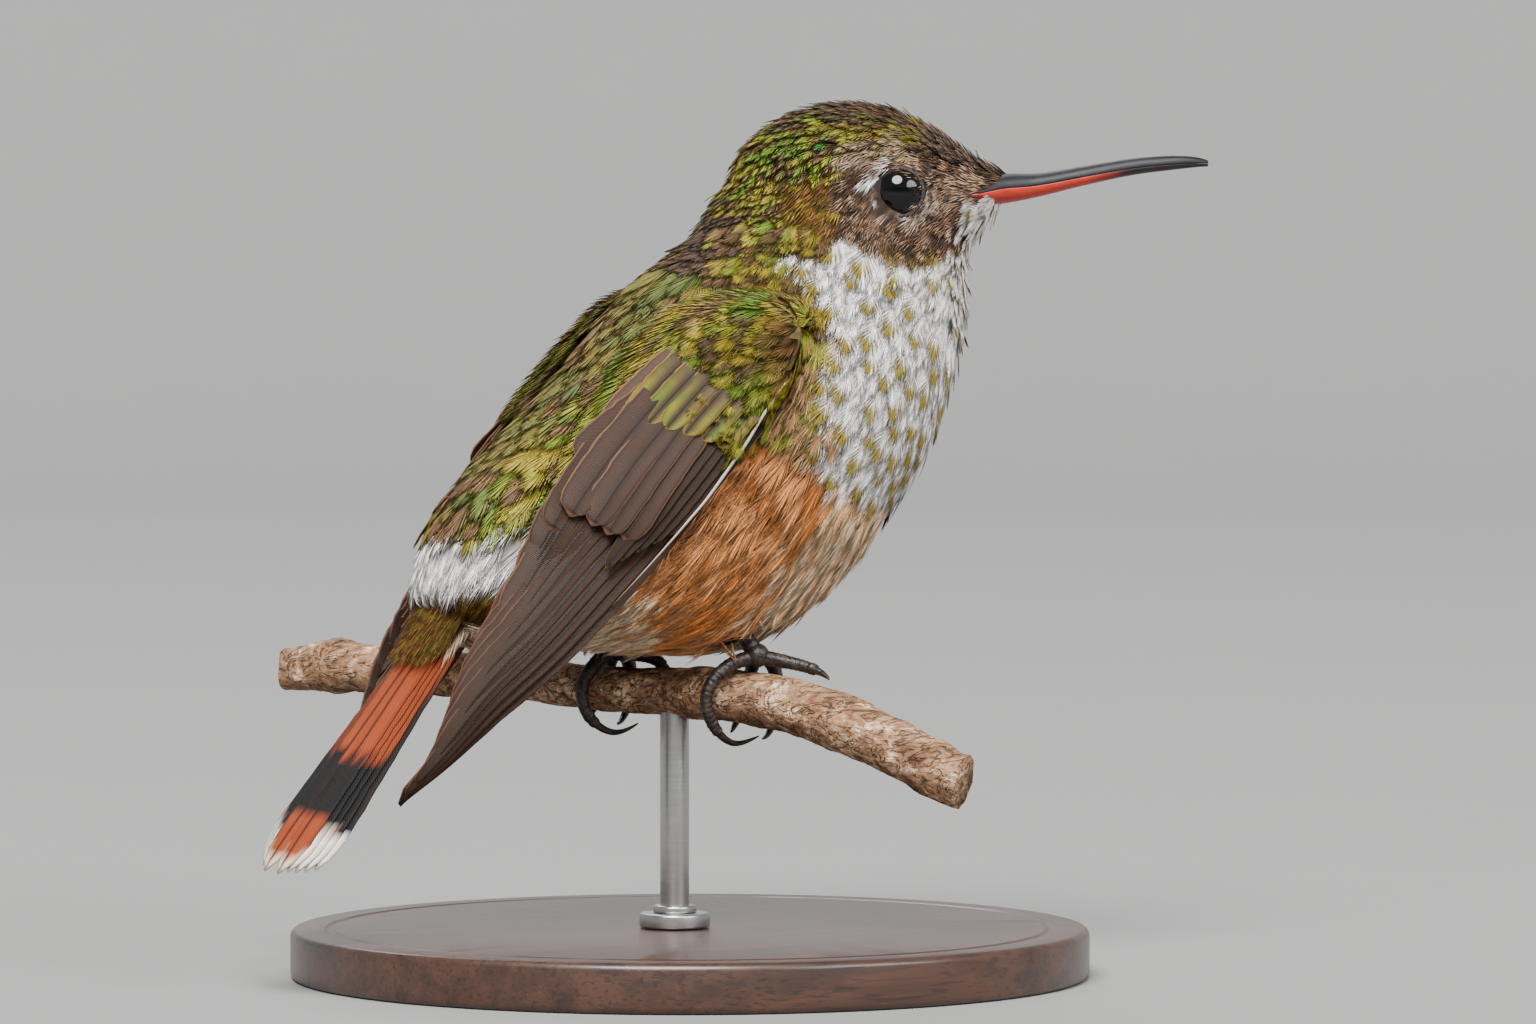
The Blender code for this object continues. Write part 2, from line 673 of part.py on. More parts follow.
def build_stand(rod_top, bird, tools):
    foot = Vector((0, 0, 0))
    base = cylinder("stand_base", BASE_RADIUS, 0, BASE_HEIGHT, foot, "stand_wood", bird, sides=BASE_SIDES)
    edge = base.modifiers.new("chamfer", "BEVEL")
    edge.width = BASE_CHAMFER * MM
    edge.limit_method = "ANGLE"
    rod_low = BASE_HEIGHT - ROD_SEAT
    hole_radius = ROD_RADIUS + GAP
    hole = cylinder("base_hole", hole_radius, rod_low - GAP, BASE_HEIGHT + 1, rod_top, "stand_wood", tools)
    hide_cutter(hole)
    boolean(base, hole, "DIFFERENCE")
    rod = cylinder("stand_rod", ROD_RADIUS, rod_low, rod_top.z, rod_top, "stand_steel", bird)
    collar_low = BASE_HEIGHT + GAP
    collar = cylinder(
        "collar", COLLAR_RADIUS, collar_low, collar_low + COLLAR_HEIGHT, rod_top, "stand_steel", tools
    )
    hide_cutter(collar)
    boolean(rod, collar, "UNION")


def main():
    clear_scene()
    bird = new_collection("hummingbird")
    tools = new_collection("cutters")
    head, trunk, skin = build_body(bird, tools)
    build_eyes(head, bird, tools)
    build_bill(bird)
    build_wings(skin, bird)
    build_tail(bird)
    centre, radius = twig_at(ROD_ALONG)
    rod_top = Vector((centre.x, centre.y, centre.z - radius + ROD_SEAT))
    build_twig(rod_top, bird, tools)
    build_feet(trunk, bird, tools)
    build_stand(rod_top, bird, tools)


main()
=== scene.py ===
"""A perched female hummingbird on its display stand: skin, plumage, flight feathers, eyes, bill, feet,
twig, stand and studio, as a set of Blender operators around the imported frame.

Lengths are in millimetres unless a name ends in _m; the frame is in metres, +Z up. The trunk faces
+X, its left side is +Y, and the head is turned to its right.
"""

import math
from collections import namedtuple
from functools import partial

import bpy
import numpy as np
from mathutils import Matrix, Vector
from mathutils.bvhtree import BVHTree
from mathutils.kdtree import KDTree


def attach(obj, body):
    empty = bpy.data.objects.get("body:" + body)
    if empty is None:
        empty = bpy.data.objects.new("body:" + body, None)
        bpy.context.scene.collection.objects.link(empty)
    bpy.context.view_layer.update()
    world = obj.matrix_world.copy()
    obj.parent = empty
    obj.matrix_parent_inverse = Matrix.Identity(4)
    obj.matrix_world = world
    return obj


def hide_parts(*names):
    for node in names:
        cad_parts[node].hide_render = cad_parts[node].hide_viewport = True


bl_info = {
    "name": "Perched Hummingbird",
    "version": (1, 0, 0),
    "blender": (4, 5, 0),
    "location": "View3D > Sidebar > Hummingbird",
    "description": "Builds a feathered hummingbird on a twig and a display stand",
    "category": "Add Mesh",
}

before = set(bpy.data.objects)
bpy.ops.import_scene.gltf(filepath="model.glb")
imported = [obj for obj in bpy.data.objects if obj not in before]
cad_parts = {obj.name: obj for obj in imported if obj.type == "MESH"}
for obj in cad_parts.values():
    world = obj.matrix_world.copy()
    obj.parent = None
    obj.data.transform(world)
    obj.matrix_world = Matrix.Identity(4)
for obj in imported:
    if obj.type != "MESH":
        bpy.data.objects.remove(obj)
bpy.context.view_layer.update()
MM = 0.001


# ---- measures shared with the solids

GAP = 0.3
HEAD_YAW = -30.0
HEAD_CENTRE = np.array((12.0, 0.0, 51.0))
EYE_RADIUS = 1.95
EYE_PLACE = (3.2, 4.15, 0.0)

# Trunk stations from the tail's root to the nape: x, z and pitch of the middle line.
TRUNK_LINE = (
    (-17.6, 23.3, 51.0),
    (-15.1, 25.0, 50.0),
    (-11.3, 26.6, 48.0),
    (-6.2, 29.0, 46.0),
    (-1.6, 32.3, 49.0),
    (2.9, 35.9, 52.0),
    (6.6, 39.8, 57.0),
    (9.2, 43.5, 65.0),
    (10.7, 47.0, 74.0),
)

# Upper and lower edge of the folded right wing from the wrist to the tip. The left wing mirrors it, and
# droops by two degrees.
WING_UPPER = (
    (3.6, -7.2, 43.6),
    (-3.0, -6.0, 42.2),
    (-9.2, -5.8, 36.8),
    (-14.0, -6.2, 31.0),
    (-17.0, -6.6, 25.8),
    (-20.0, -6.5, 21.2),
    (-22.2, -5.8, 16.1),
    (-24.1, -4.7, 12.9),
)
WING_LOWER = (
    (3.6, -9.6, 39.8),
    (0.3, -10.0, 36.6),
    (-4.0, -10.0, 31.5),
    (-9.0, -9.2, 25.8),
    (-13.7, -7.9, 20.8),
    (-17.0, -6.8, 17.8),
    (-20.8, -5.7, 14.8),
    (-24.3, -4.4, 12.5),
)
LEFT_WING_DROOP = 2.0

TAIL_ROOT = (-18.1, 23.0)
TAIL_TIP = (-29.9, 8.0)

# The twig comes towards the viewer by this much per length, from the pivot on. Its stations are the place
# along it, the height and the radius.
TWIG_RECEDE = 0.36
TWIG_PIVOT = -1.2
TWIG_FORWARD = 0.7
ROD_ALONG = -1.0
TWIG_STATIONS = (
    (-26.8, 19.5, 1.42),
    (-23.2, 19.8, 1.72),
    (-19.6, 19.5, 1.52),
    (-12.0, 19.3, 1.42),
    (-5.6, 18.7, 1.50),
    (1.2, 18.5, 1.66),
    (5.2, 18.1, 1.80),
    (8.6, 17.2, 1.86),
    (13.0, 15.4, 1.82),
    (17.6, 13.2, 1.80),
)

# Along the bill from its base to its tip: forward, seam, upper and lower depth, half width. The base runs
# back along the sides of the head to the corner of the mouth.
BILL_BASE = (
    (7.7, -0.25, 0.22, 0.30, 2.45),
    (8.4, -0.10, 0.50, 0.60, 2.10),
    (9.2, 0.08, 0.80, 0.85, 1.62),
    (10.15, 0.26, 0.98, 0.98, 1.25),
    (12.4, 0.46, 0.80, 0.74, 0.92),
)
BILL_STATIONS = (
    *BILL_BASE,
    (15.4, 1.02, 0.72, 0.55, 0.72),
    (18.6, 1.58, 0.66, 0.42, 0.58),
    (21.2, 1.84, 0.58, 0.34, 0.46),
    (22.8, 1.92, 0.40, 0.24, 0.32),
    (23.6, 1.90, 0.20, 0.16, 0.17),
)


# ---- small helpers


def linear(code):
    """Linear RGB of an sRGB hex colour."""
    parts = [int(code[i:i + 2], 16) / 255 for i in (1, 3, 5)]
    return tuple(c / 12.92 if c <= 0.04045 else ((c + 0.055) / 1.055) ** 2.4 for c in parts)


def unit(vectors):
    """Vectors of length 1 in the same directions."""
    return vectors / np.maximum(np.linalg.norm(vectors, axis=-1, keepdims=True), 1e-9)


def ramp(values, low, high):
    """0 below low, 1 above high, and smooth between them; low may be the greater."""
    share = np.clip((np.asarray(values, float) - low) / (high - low), 0, 1)
    return share * share * (3 - 2 * share)


def smooth_value(keys, at):
    """Catmull-Rom interpolation of a list of tuples, at 0 for the first and 1 for the last."""
    place = min(max(at, 0.0), 1.0) * (len(keys) - 1)
    i = min(int(place), len(keys) - 2)
    t = place - i
    before, start, end, after = (keys[min(max(k, 0), len(keys) - 1)] for k in (i - 1, i, i + 1, i + 2))
    return tuple(
        0.5 * (2 * b + (c - a) * t + (2 * a - 5 * b + 4 * c - d) * t * t + (3 * b - a - 3 * c + d) * t ** 3)
        for a, b, c, d in zip(before, start, end, after)
    )


def turn_z(degrees):
    return np.array(Matrix.Rotation(math.radians(degrees), 3, "Z"))


HEAD_TURN = turn_z(HEAD_YAW)


def head_point(forward, sideways, up):
    return HEAD_CENTRE + HEAD_TURN @ np.array((forward, sideways, up))


def cell_noise(points, size, seed):
    """Smooth random values from 0 to 1 that vary over cells of the given size."""
    grid = np.asarray(points) / size + 0.37 * seed
    low = np.floor(grid).astype(np.int64)
    part = grid - low
    part = part * part * (3 - 2 * part)
    total = np.zeros(len(grid))
    for corner in range(8):
        offset = np.array([(corner >> k) & 1 for k in range(3)])
        cell = (low + offset) @ np.array([73856093, 19349663, 83492791]) + seed * 7919
        mixed = (cell ^ (cell >> 13)) * 1274126177 & 0x7FFFFFFF
        value = ((mixed ^ (mixed >> 16)) % 10007) / 10007
        weight = np.where(offset, part, 1 - part).prod(axis=1)
        total += weight * value
    return total


def present(item):
    """A finished piece stands still with the model."""
    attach(item, "root")


workshop = {}  # what one piece leaves for the next: skin, wings, roots, materials and settings


def select_only(item):
    """Selects one object alone and makes it active."""
    for other in bpy.context.selected_objects:
        other.select_set(False)
    item.select_set(True)
    bpy.context.view_layer.objects.active = item


def named(item, name):
    """The object with its turn and size applied and its name set."""
    select_only(item)
    bpy.ops.object.transform_apply(location=True, rotation=True, scale=True)
    item.name = item.data.name = name
    return item


def dress(item, material):
    """Gives the object one material and smooth shading."""
    item.data.materials.clear()
    item.data.materials.append(material)
    item.data.shade_smooth()


def clean(item, merge=True, outward=True):
    """Joins doubled points and turns the faces outward."""
    select_only(item)
    bpy.ops.object.mode_set(mode="EDIT")
    bpy.ops.mesh.select_all(action="SELECT")
    if merge:
        bpy.ops.mesh.remove_doubles(threshold=1e-6)
    if outward:
        bpy.ops.mesh.normals_make_consistent(inside=False)
    bpy.ops.object.mode_set(mode="OBJECT")


def apply_modifier(item, kind, **settings):
    select_only(item)
    step = item.modifiers.new(kind.lower(), kind)
    for key, value in settings.items():
        setattr(step, key, value)
    bpy.ops.object.modifier_apply(modifier=step.name)


def ball(radius, place, segments, rings, material, rotation=(0, 0, 0), scale=(1, 1, 1)):
    """A sphere, with its radius and place in millimetres."""
    bpy.ops.mesh.primitive_uv_sphere_add(
        segments=segments, ring_count=rings, radius=radius * MM, location=place * MM, rotation=rotation,
        scale=scale,
    )
    item = bpy.context.object
    dress(item, material)
    return item


def joined(name, items):
    """One named object from several."""
    select_only(items[0])
    for item in items:
        item.select_set(True)
    bpy.ops.object.join()
    return named(bpy.context.object, name)


def vertex_places(item):
    """The points of a mesh in millimetres."""
    places = np.empty(len(item.data.vertices) * 3)
    item.data.vertices.foreach_get("co", places)
    return places.reshape(-1, 3) / MM


def nearest_finder(points):
    tree = KDTree(len(points))
    for i, point in enumerate(points):
        tree.insert(point, i)
    tree.balance()
    return tree


def slab_faces(rows, columns):
    """Triangles of a closed slab: a grid of points facing out, then the same grid on its other side."""
    size = rows * columns
    faces = []
    for i in range(rows - 1):
        for j in range(columns - 1):
            a, b = i * columns + j, (i + 1) * columns + j
            faces += [(a, b + 1, b), (a, a + 1, b + 1)]
            faces += [(size + a, size + b, size + b + 1), (size + a, size + b + 1, size + a + 1)]
    rim = list(range(columns)) + [i * columns + columns - 1 for i in range(1, rows)]
    rim += [(rows - 1) * columns + j for j in range(columns - 2, -1, -1)]
    rim += [i * columns for i in range(rows - 2, 0, -1)]
    for a, b in zip(rim, rim[1:] + rim[:1]):
        faces += [(a, size + b, b), (a, size + a, size + b)]
    return faces


def array_object(name, points, triangles, material):
    """A mesh object in the scene from arrays in millimetres."""
    mesh = bpy.data.meshes.new(name)
    mesh.vertices.add(len(points))
    mesh.vertices.foreach_set("co", (np.asarray(points, np.float32) * MM).ravel())
    count = len(triangles)
    mesh.loops.add(count * 3)
    mesh.loops.foreach_set("vertex_index", np.asarray(triangles, np.int32).ravel())
    mesh.polygons.add(count)
    mesh.polygons.foreach_set("loop_start", np.arange(0, count * 3, 3, dtype=np.int32))
    mesh.update(calc_edges=True)
    mesh.validate()
    item = bpy.data.objects.new(name, mesh)
    bpy.context.scene.collection.objects.link(item)
    dress(item, material)
    return item


def feather_object(name, feathers, material, maps, layers):
    """One object from the arrays of many feathers: points, triangles, then its UV maps and its colours."""
    count = 0
    shifted = []
    for points, triangles, *rest in feathers:
        shifted.append((points, triangles + count, *rest))
        count += len(points)
    points, triangles, *values = (np.concatenate(arrays) for arrays in zip(*shifted))
    item = array_object(name, points, triangles, material)
    for map_name, value in zip(maps, values):
        corner_uv(item, map_name, value)
    for layer, value in zip(layers, values[len(maps):]):
        point_colours(item, layer, value)
    return item


def corner_uv(item, name, values):
    """A UV map from one value per vertex."""
    layer = item.data.uv_layers.new(name=name)
    corners = np.empty(len(item.data.loops), np.int32)
    item.data.loops.foreach_get("vertex_index", corners)
    layer.data.foreach_set("uv", np.asarray(values, np.float32)[corners].ravel())


def point_colours(item, name, values):
    layer = item.data.color_attributes.new(name, "FLOAT_COLOR", "POINT")
    full = np.ones((len(values), 4), np.float32)
    full[:, :3] = values
    layer.data.foreach_set("color", full.ravel())


def add_node(tree, kind, *values, out=None, **settings):
    """Adds a node; values and links go to its first inputs, or by name with its own settings."""
    node = tree.nodes.new("ShaderNode" + kind)
    node.location = (180 * len(tree.nodes), 0)
    pairs = list(zip(node.inputs, values))
    for key, value in settings.items():
        if hasattr(node, key):
            setattr(node, key, value)
            continue
        pairs.append((next(s for s in node.inputs if s.name.replace(" ", "_") == key and s.enabled), value))
    for socket, value in pairs:
        if isinstance(value, bpy.types.NodeSocket):
            tree.links.new(value, socket)
        else:
            socket.default_value = (*value[:3], 1.0) if socket.type == "RGBA" else value
    return node.outputs[out] if out else next((s for s in node.outputs if s.enabled), None)


# ---- the body's own directions

AXIS_SPREAD = 3.5


def body_line():
    """Places, tailward directions and backward-facing directions along the bird, from bill to tail."""
    ahead, up = HEAD_TURN @ np.array((1.0, 0, 0)), np.array((0, 0, 1.0))
    places = [HEAD_CENTRE + 10 * ahead, HEAD_CENTRE + 3 * ahead, HEAD_CENTRE - 3 * ahead - up]
    tailward = [-ahead, -ahead - 0.3 * up, -0.6 * ahead - 0.8 * up]
    backs = [up, up, up - 0.3 * ahead]
    for x, z, pitch in reversed(TRUNK_LINE):
        lean = math.radians(pitch)
        places.append(np.array((x, 0, z)))
        tailward.append(np.array((-math.cos(lean), 0, -math.sin(lean))))
        backs.append(np.array((-math.sin(lean), 0, math.cos(lean))))
    return np.array(places), unit(np.array(tailward)), unit(np.array(backs))


LINE = body_line()


def body_field(points):
    """For each point: place along the line, tailward direction, share facing the back, and turn round it."""
    places, tailward, backs = LINE
    apart = ((points[:, None, :] - places[None]) ** 2).sum(axis=2)
    weight = np.exp(-(apart - apart.min(axis=1, keepdims=True)) / (2 * AXIS_SPREAD ** 2))
    weight /= weight.sum(axis=1, keepdims=True)
    station = weight @ np.arange(len(places))
    tail = unit(weight @ tailward)
    back = unit(weight @ backs)
    spoke = points - weight @ places
    spoke = unit(spoke - (spoke * tail).sum(axis=1, keepdims=True) * tail)
    dorsal = (spoke * back).sum(axis=1)
    across = (spoke * np.cross(back, tail)).sum(axis=1)
    return station, tail, dorsal, np.arctan2(across, dorsal)


def head_frame(points):
    """Forward, sideways distance from the middle, and up, in the head's own turned frame."""
    local = (points - HEAD_CENTRE) @ HEAD_TURN
    return local[:, 0], np.abs(local[:, 1]), local[:, 2]


def side_frame(points):
    """Forward and up as the bird's side is seen, the same on both sides."""
    turn = math.radians(-HEAD_YAW)
    return math.cos(turn) * points[:, 0] + math.sin(turn) * np.abs(points[:, 1]), points[:, 2]


# ---- wing surface

WING_BULGE = 0.7
WRIST_LENGTH = 0.1
WING_ROWS, WING_COLUMNS = 61, 17


def clear_of(body, place, gap):
    """The place, moved out where it is nearer to the body than the gap."""
    near, normal, _, _ = body.find_nearest(Vector(place))
    depth = (Vector(place) - near).dot(normal)
    return np.array(Vector(place) + normal * (gap - depth)) if depth < gap else place


def wing_surface(body, side):
    """Places and outward directions over one folded wing, rows from wrist to tip, trailing edge first."""
    places = np.empty((WING_ROWS, WING_COLUMNS, 3))
    outs = np.empty_like(places)
    pivot = np.array(WING_LOWER[0])
    droop = np.array(Matrix.Rotation(math.radians(-LEFT_WING_DROOP), 3, "Y"))
    for i in range(WING_ROWS):
        p = i / (WING_ROWS - 1)
        opened = max(0.3, math.sqrt(1 - max(0.0, 1 - p / WRIST_LENGTH) ** 2))
        top, low = np.array(smooth_value(WING_UPPER, p)), np.array(smooth_value(WING_LOWER, p))
        ahead = np.array(smooth_value(WING_UPPER, p + 0.02)) - np.array(smooth_value(WING_UPPER, p - 0.02))
        out = np.cross(ahead, low - top)
        out /= np.linalg.norm(out)
        out = -out if out[1] > 0 else out
        top, low = low + (top - low) * (0.5 + opened / 2), top + (low - top) * (0.5 + opened / 2)
        for j in range(WING_COLUMNS):
            q = j / (WING_COLUMNS - 1)
            place = top + (low - top) * q + out * WING_BULGE * 4 * q * (1 - q)
            facing = out
            if side > 0:
                place, facing = pivot + droop @ (place - pivot), droop @ out
                place, facing = place * (1, -1, 1), facing * (1, -1, 1)
            places[i, j] = clear_of(body, place, GAP)
            outs[i, j] = facing
    return places, outs


def on_wing(surface, p, q):
    """Place and outward direction at shares along and across the wing, which may run past its edges."""
    places, outs = surface
    p, q = np.asarray(p, float), np.asarray(q, float)
    row = np.clip(p, 0, 1) * (WING_ROWS - 1)
    column = q * (WING_COLUMNS - 1)
    i = np.clip(row.astype(int), 0, WING_ROWS - 2)
    j = np.clip(np.floor(column).astype(int), 0, WING_COLUMNS - 2)
    a, b = (row - i)[..., None], (column - j)[..., None]

    def between(grid):
        near = grid[i, j] * (1 - b) + grid[i, j + 1] * b
        far = grid[i + 1, j] * (1 - b) + grid[i + 1, j + 1] * b
        return near * (1 - a) + far * a

    return between(places), unit(between(outs))


# ---- skin

SKIN_VOXEL = 0.4
FUSE = 0.22  # how far the solids swell to close the cuts between them
COAT_DEPTH = 0.5
SOCKET_FILL = 2.3
ARM_REACH = 0.24  # share of the wing that the fleshy arm fills
ARM_ROWS = int(ARM_REACH * (WING_ROWS - 1)) + 1
ARM_NEAR, ARM_FADE = 1.9, 0.7  # distance from the arm where its share starts, and how fast it grows
ARM_DEPTH = 1.45
BROW = (7.7, 0.75, 3.5, 1.9, 1.5)  # forward, up, and reach of the feathered point over the bill


def node_copy(node):
    """A merged copy of a node of the frame."""
    item = bpy.data.objects.new(node + "_copy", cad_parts[node].data.copy())
    bpy.context.scene.collection.objects.link(item)
    clean(item, outward=False)
    return item


def tree_of(item):
    points = [Vector(place) for place in vertex_places(item)]
    return BVHTree.FromPolygons(points, [tuple(face.vertices) for face in item.data.polygons])


def arm_slab(surface, material):
    """The fleshy front of a folded wing, as a closed slab over the wing's surface."""
    places, outs = (values[:ARM_ROWS] for values in surface)
    points = np.concatenate([places.reshape(-1, 3), (places + outs * ARM_DEPTH).reshape(-1, 3)])
    item = array_object("arm_slab", points, slab_faces(ARM_ROWS, WING_COLUMNS), material)
    clean(item, merge=False)
    return item


def fused_skin(material):
    """One closed skin inside the solids of the head, neck, trunk and arms, and the surfaces of both folded
    wings.
    """
    parts = [node_copy(node) for node in ("head", "neck", "trunk")]
    body = tree_of(parts[2])
    wings = {side: wing_surface(body, side) for side in (-1, 1)}
    parts += [arm_slab(wings[side], material) for side in (-1, 1)]
    for side in (-1, 1):
        place = head_point(EYE_PLACE[0], side * EYE_PLACE[1], EYE_PLACE[2])
        parts.append(ball(SOCKET_FILL, place, 24, 16, material))
    forward, up, *reach = BROW
    turned = (0, 0, math.radians(HEAD_YAW))
    parts.append(ball(1.0, head_point(forward, 0, up), 32, 16, material, turned, reach))
    skin = joined("skin", parts)
    apply_modifier(skin, "DISPLACE", strength=FUSE * MM, mid_level=0.0)
    apply_modifier(skin, "REMESH", mode="VOXEL", voxel_size=SKIN_VOXEL * MM)
    apply_modifier(skin, "SMOOTH", factor=0.5, iterations=5)
    apply_modifier(skin, "DISPLACE", strength=-(FUSE + COAT_DEPTH) * MM, mid_level=0.0)
    apply_modifier(skin, "SMOOTH", factor=0.5, iterations=8)
    dress(skin, material)
    return skin, wings


# ---- one small feather, barb by barb

# The three edges of a barb: place across it, side, and 1 for the ridge.
BARB_TURNS = ((0.0, 1.0, 0), (0.5, 0.0, 1), (1.0, -1.0, 0))
BARB_TAPER = ((0, 0.35, 0.7, 1), (0.6, 1.0, 0.62, 0.1))  # shares along a barb, and of its width
TIP_ANGLE = math.radians(100)


def barb(fields, triangles, line, widths, lifts, aspect, shade):
    """One tapering three-sided barb along a line of (t, x) points, ending in a point."""
    first = len(fields["t"])
    line = np.array(line)
    ahead = np.gradient(line, axis=0) * (aspect, 1.0)
    ahead /= np.linalg.norm(ahead, axis=1)[:, None]
    rings = len(line) - 1
    points = []
    for k in range(rings):
        for place, side, ridge in BARB_TURNS:
            t = line[k, 0] - side * ahead[k, 1] * widths[k] / aspect
            x = line[k, 1] + side * ahead[k, 0] * widths[k]
            points.append((t, x, lifts[k], 1.0 - ridge, place, k / rings, shade))
    points.append((*line[-1], lifts[-1], 0.5, 0.5, 1.0, shade))
    for name, values in zip(fields, zip(*points)):
        fields[name] += values
    triangles.append((first, first + 1, first + 2))
    for k in range(rings):
        low, high = first + 3 * k, first + 3 * k + 3
        for a, b in ((0, 1), (1, 2), (2, 0)):
            if k == rings - 1:
                triangles.append((low + b, low + a, high))
            else:
                triangles += [(low + b, low + a, high + a), (low + b, high + a, high + b)]


def new_shape():
    return {name: [] for name in ("t", "x", "y", "under", "across", "reach", "shade")}, []


def finished_shape(fields, triangles):
    shape = {name: np.array(values) for name, values in fields.items()}
    shape["triangles"] = np.array(triangles)
    return shape


def barbed(per_side, rings, seed, loose=0.0, crown_from=0.42, root_to=0.62, aspect=3.2):
    """A feather of unit length and half width: barbs leave the shaft in turn and part towards their tips."""
    rng = np.random.default_rng(seed)
    fields, triangles = new_shape()
    ranks = [(side, (i + 0.5) / per_side) for i in range(per_side) for side in (-1, 1)] + [(1, 1.0)]
    for side, rank in ranks:
        angle = (1 - rank) * TIP_ANGLE
        reach = 1 + rng.uniform(-0.04 - 0.14 * loose, 0.04 + 0.08 * loose)
        start = root_to * rank
        end_t = crown_from + (1 - crown_from) * math.cos(angle) * reach
        end_x = side * (math.sin(angle) * reach + rng.uniform(-0.03, 0.03) * (1 + 3 * loose))
        curl = 0.72 + 0.12 * loose
        line = []
        for k in range(rings + 1):
            share = k / rings
            line.append((start + (end_t - start) * share, end_x * share ** curl))
        wide = (0.80 - 0.28 * loose) / per_side
        widths = [wide * float(np.interp(k / rings, *BARB_TAPER)) for k in range(rings)]
        step = rng.uniform(-0.45, 0.45)
        lifts = [1 - x * x + step * t for t, x in line]
        barb(fields, triangles, line, widths, lifts, aspect, rng.uniform(0.0, 1.0))
    return finished_shape(fields, triangles)


def hair_clump(hairs, seed, spread=1.0):
    """A few tapering hairs from one root, in the same terms as a feather."""
    rng = np.random.default_rng(seed)
    fields, triangles = new_shape()
    for k in range(hairs):
        lean = (k - (hairs - 1) / 2) / max(hairs - 1, 1) * 2 * spread + rng.uniform(-0.2, 0.2)
        start, end, lift = rng.uniform(-0.1, 0.1), rng.uniform(0.75, 1.0), rng.uniform(0.0, 1.0)
        line = [(start + (end - start) * share, lean * (0.3 + 0.8 * share)) for share in (0.0, 0.5, 1.0)]
        barb(fields, triangles, line, (0.24, 0.20), (0.0, lift * 0.6, lift), 4.0, rng.uniform(0.0, 1.0))
    return finished_shape(fields, triangles)


# ---- where the feathers stand

SPINE_STEPS = 4


def spaced_roots(points, areas, spacing_of, seed):
    """Points over a mesh's faces, no two nearer than the spacing asked for at each."""
    rng = np.random.default_rng(seed)
    spacing = spacing_of(points)
    chance = areas / np.maximum(spacing, 0.05) ** 2
    wanted = int(chance[spacing > 0].sum() * 3.2)
    chance = np.where(spacing > 0, chance, 0)
    picks = rng.choice(len(points), wanted, p=chance / chance.sum())
    places = points[picks] + rng.normal(0, 0.13, (wanted, 3))
    gaps = spacing[picks]
    tree = nearest_finder(places)
    taken = np.zeros(wanted, bool)
    kept = []
    for i in range(wanted):
        if taken[i]:
            continue
        kept.append(i)
        for _, j, _ in tree.find_range(places[i], gaps[i]):
            taken[j] = True
    return places[kept]


def settle(tree, places):
    """The nearest points and outward normals of a surface."""
    found = [tree.find_nearest(Vector(p)) for p in places]
    return np.array([hit[0] for hit in found]), np.array([hit[1] for hit in found])


RIM_TURN = 0.35  # cosine of the turn past which a surface no longer guides the feather


def lay_spines(tree, roots, flow_of, lengths, turns, heights):
    """Points along each feather, following the surface and rising off it, with their normals."""
    places, normals = settle(tree, roots)
    first = normals
    spines, facings = [], []
    for step in range(SPINE_STEPS + 1):
        share = step / SPINE_STEPS
        spines.append(places + normals * (heights[:, :1] + (heights[:, 1:] - heights[:, :1]) * share))
        facings.append(normals)
        flow = flow_of(places)
        flow = unit(flow - (flow * normals).sum(axis=1, keepdims=True) * normals)
        across = np.cross(normals, flow)
        flow = flow * np.cos(turns)[:, None] + across * np.sin(turns)[:, None]
        straight = places + flow * (lengths / SPINE_STEPS)[:, None]
        ahead, found = settle(tree, straight)
        held = (found * first).sum(axis=1, keepdims=True) > RIM_TURN
        places = np.where(held, ahead, straight)
        normals = np.where(held, unit(normals * 0.35 + found * 0.65), normals)
    return np.stack(spines, axis=1), np.stack(facings, axis=1)


def along_spine(values, t):
    """Values at shares t along each spine, by straight steps."""
    place = np.clip(t, -0.1, 1.15) * SPINE_STEPS
    low = np.clip(np.floor(place).astype(int), 0, SPINE_STEPS - 1)
    part = (place - low)[None, :, None]
    return values[:, low] * (1 - part) + values[:, low + 1] * part


def coat_unwrap(points):
    """The place of each root on an unwrap of the skin: round the body, and along its middle line."""
    station, _, _, turn = body_field(points)
    return np.stack([0.5 + 0.47 * turn / math.pi, 0.03 + 0.94 * station / (len(LINE[0]) - 1)], axis=1)


OFBAKE_PATCH = 0.003


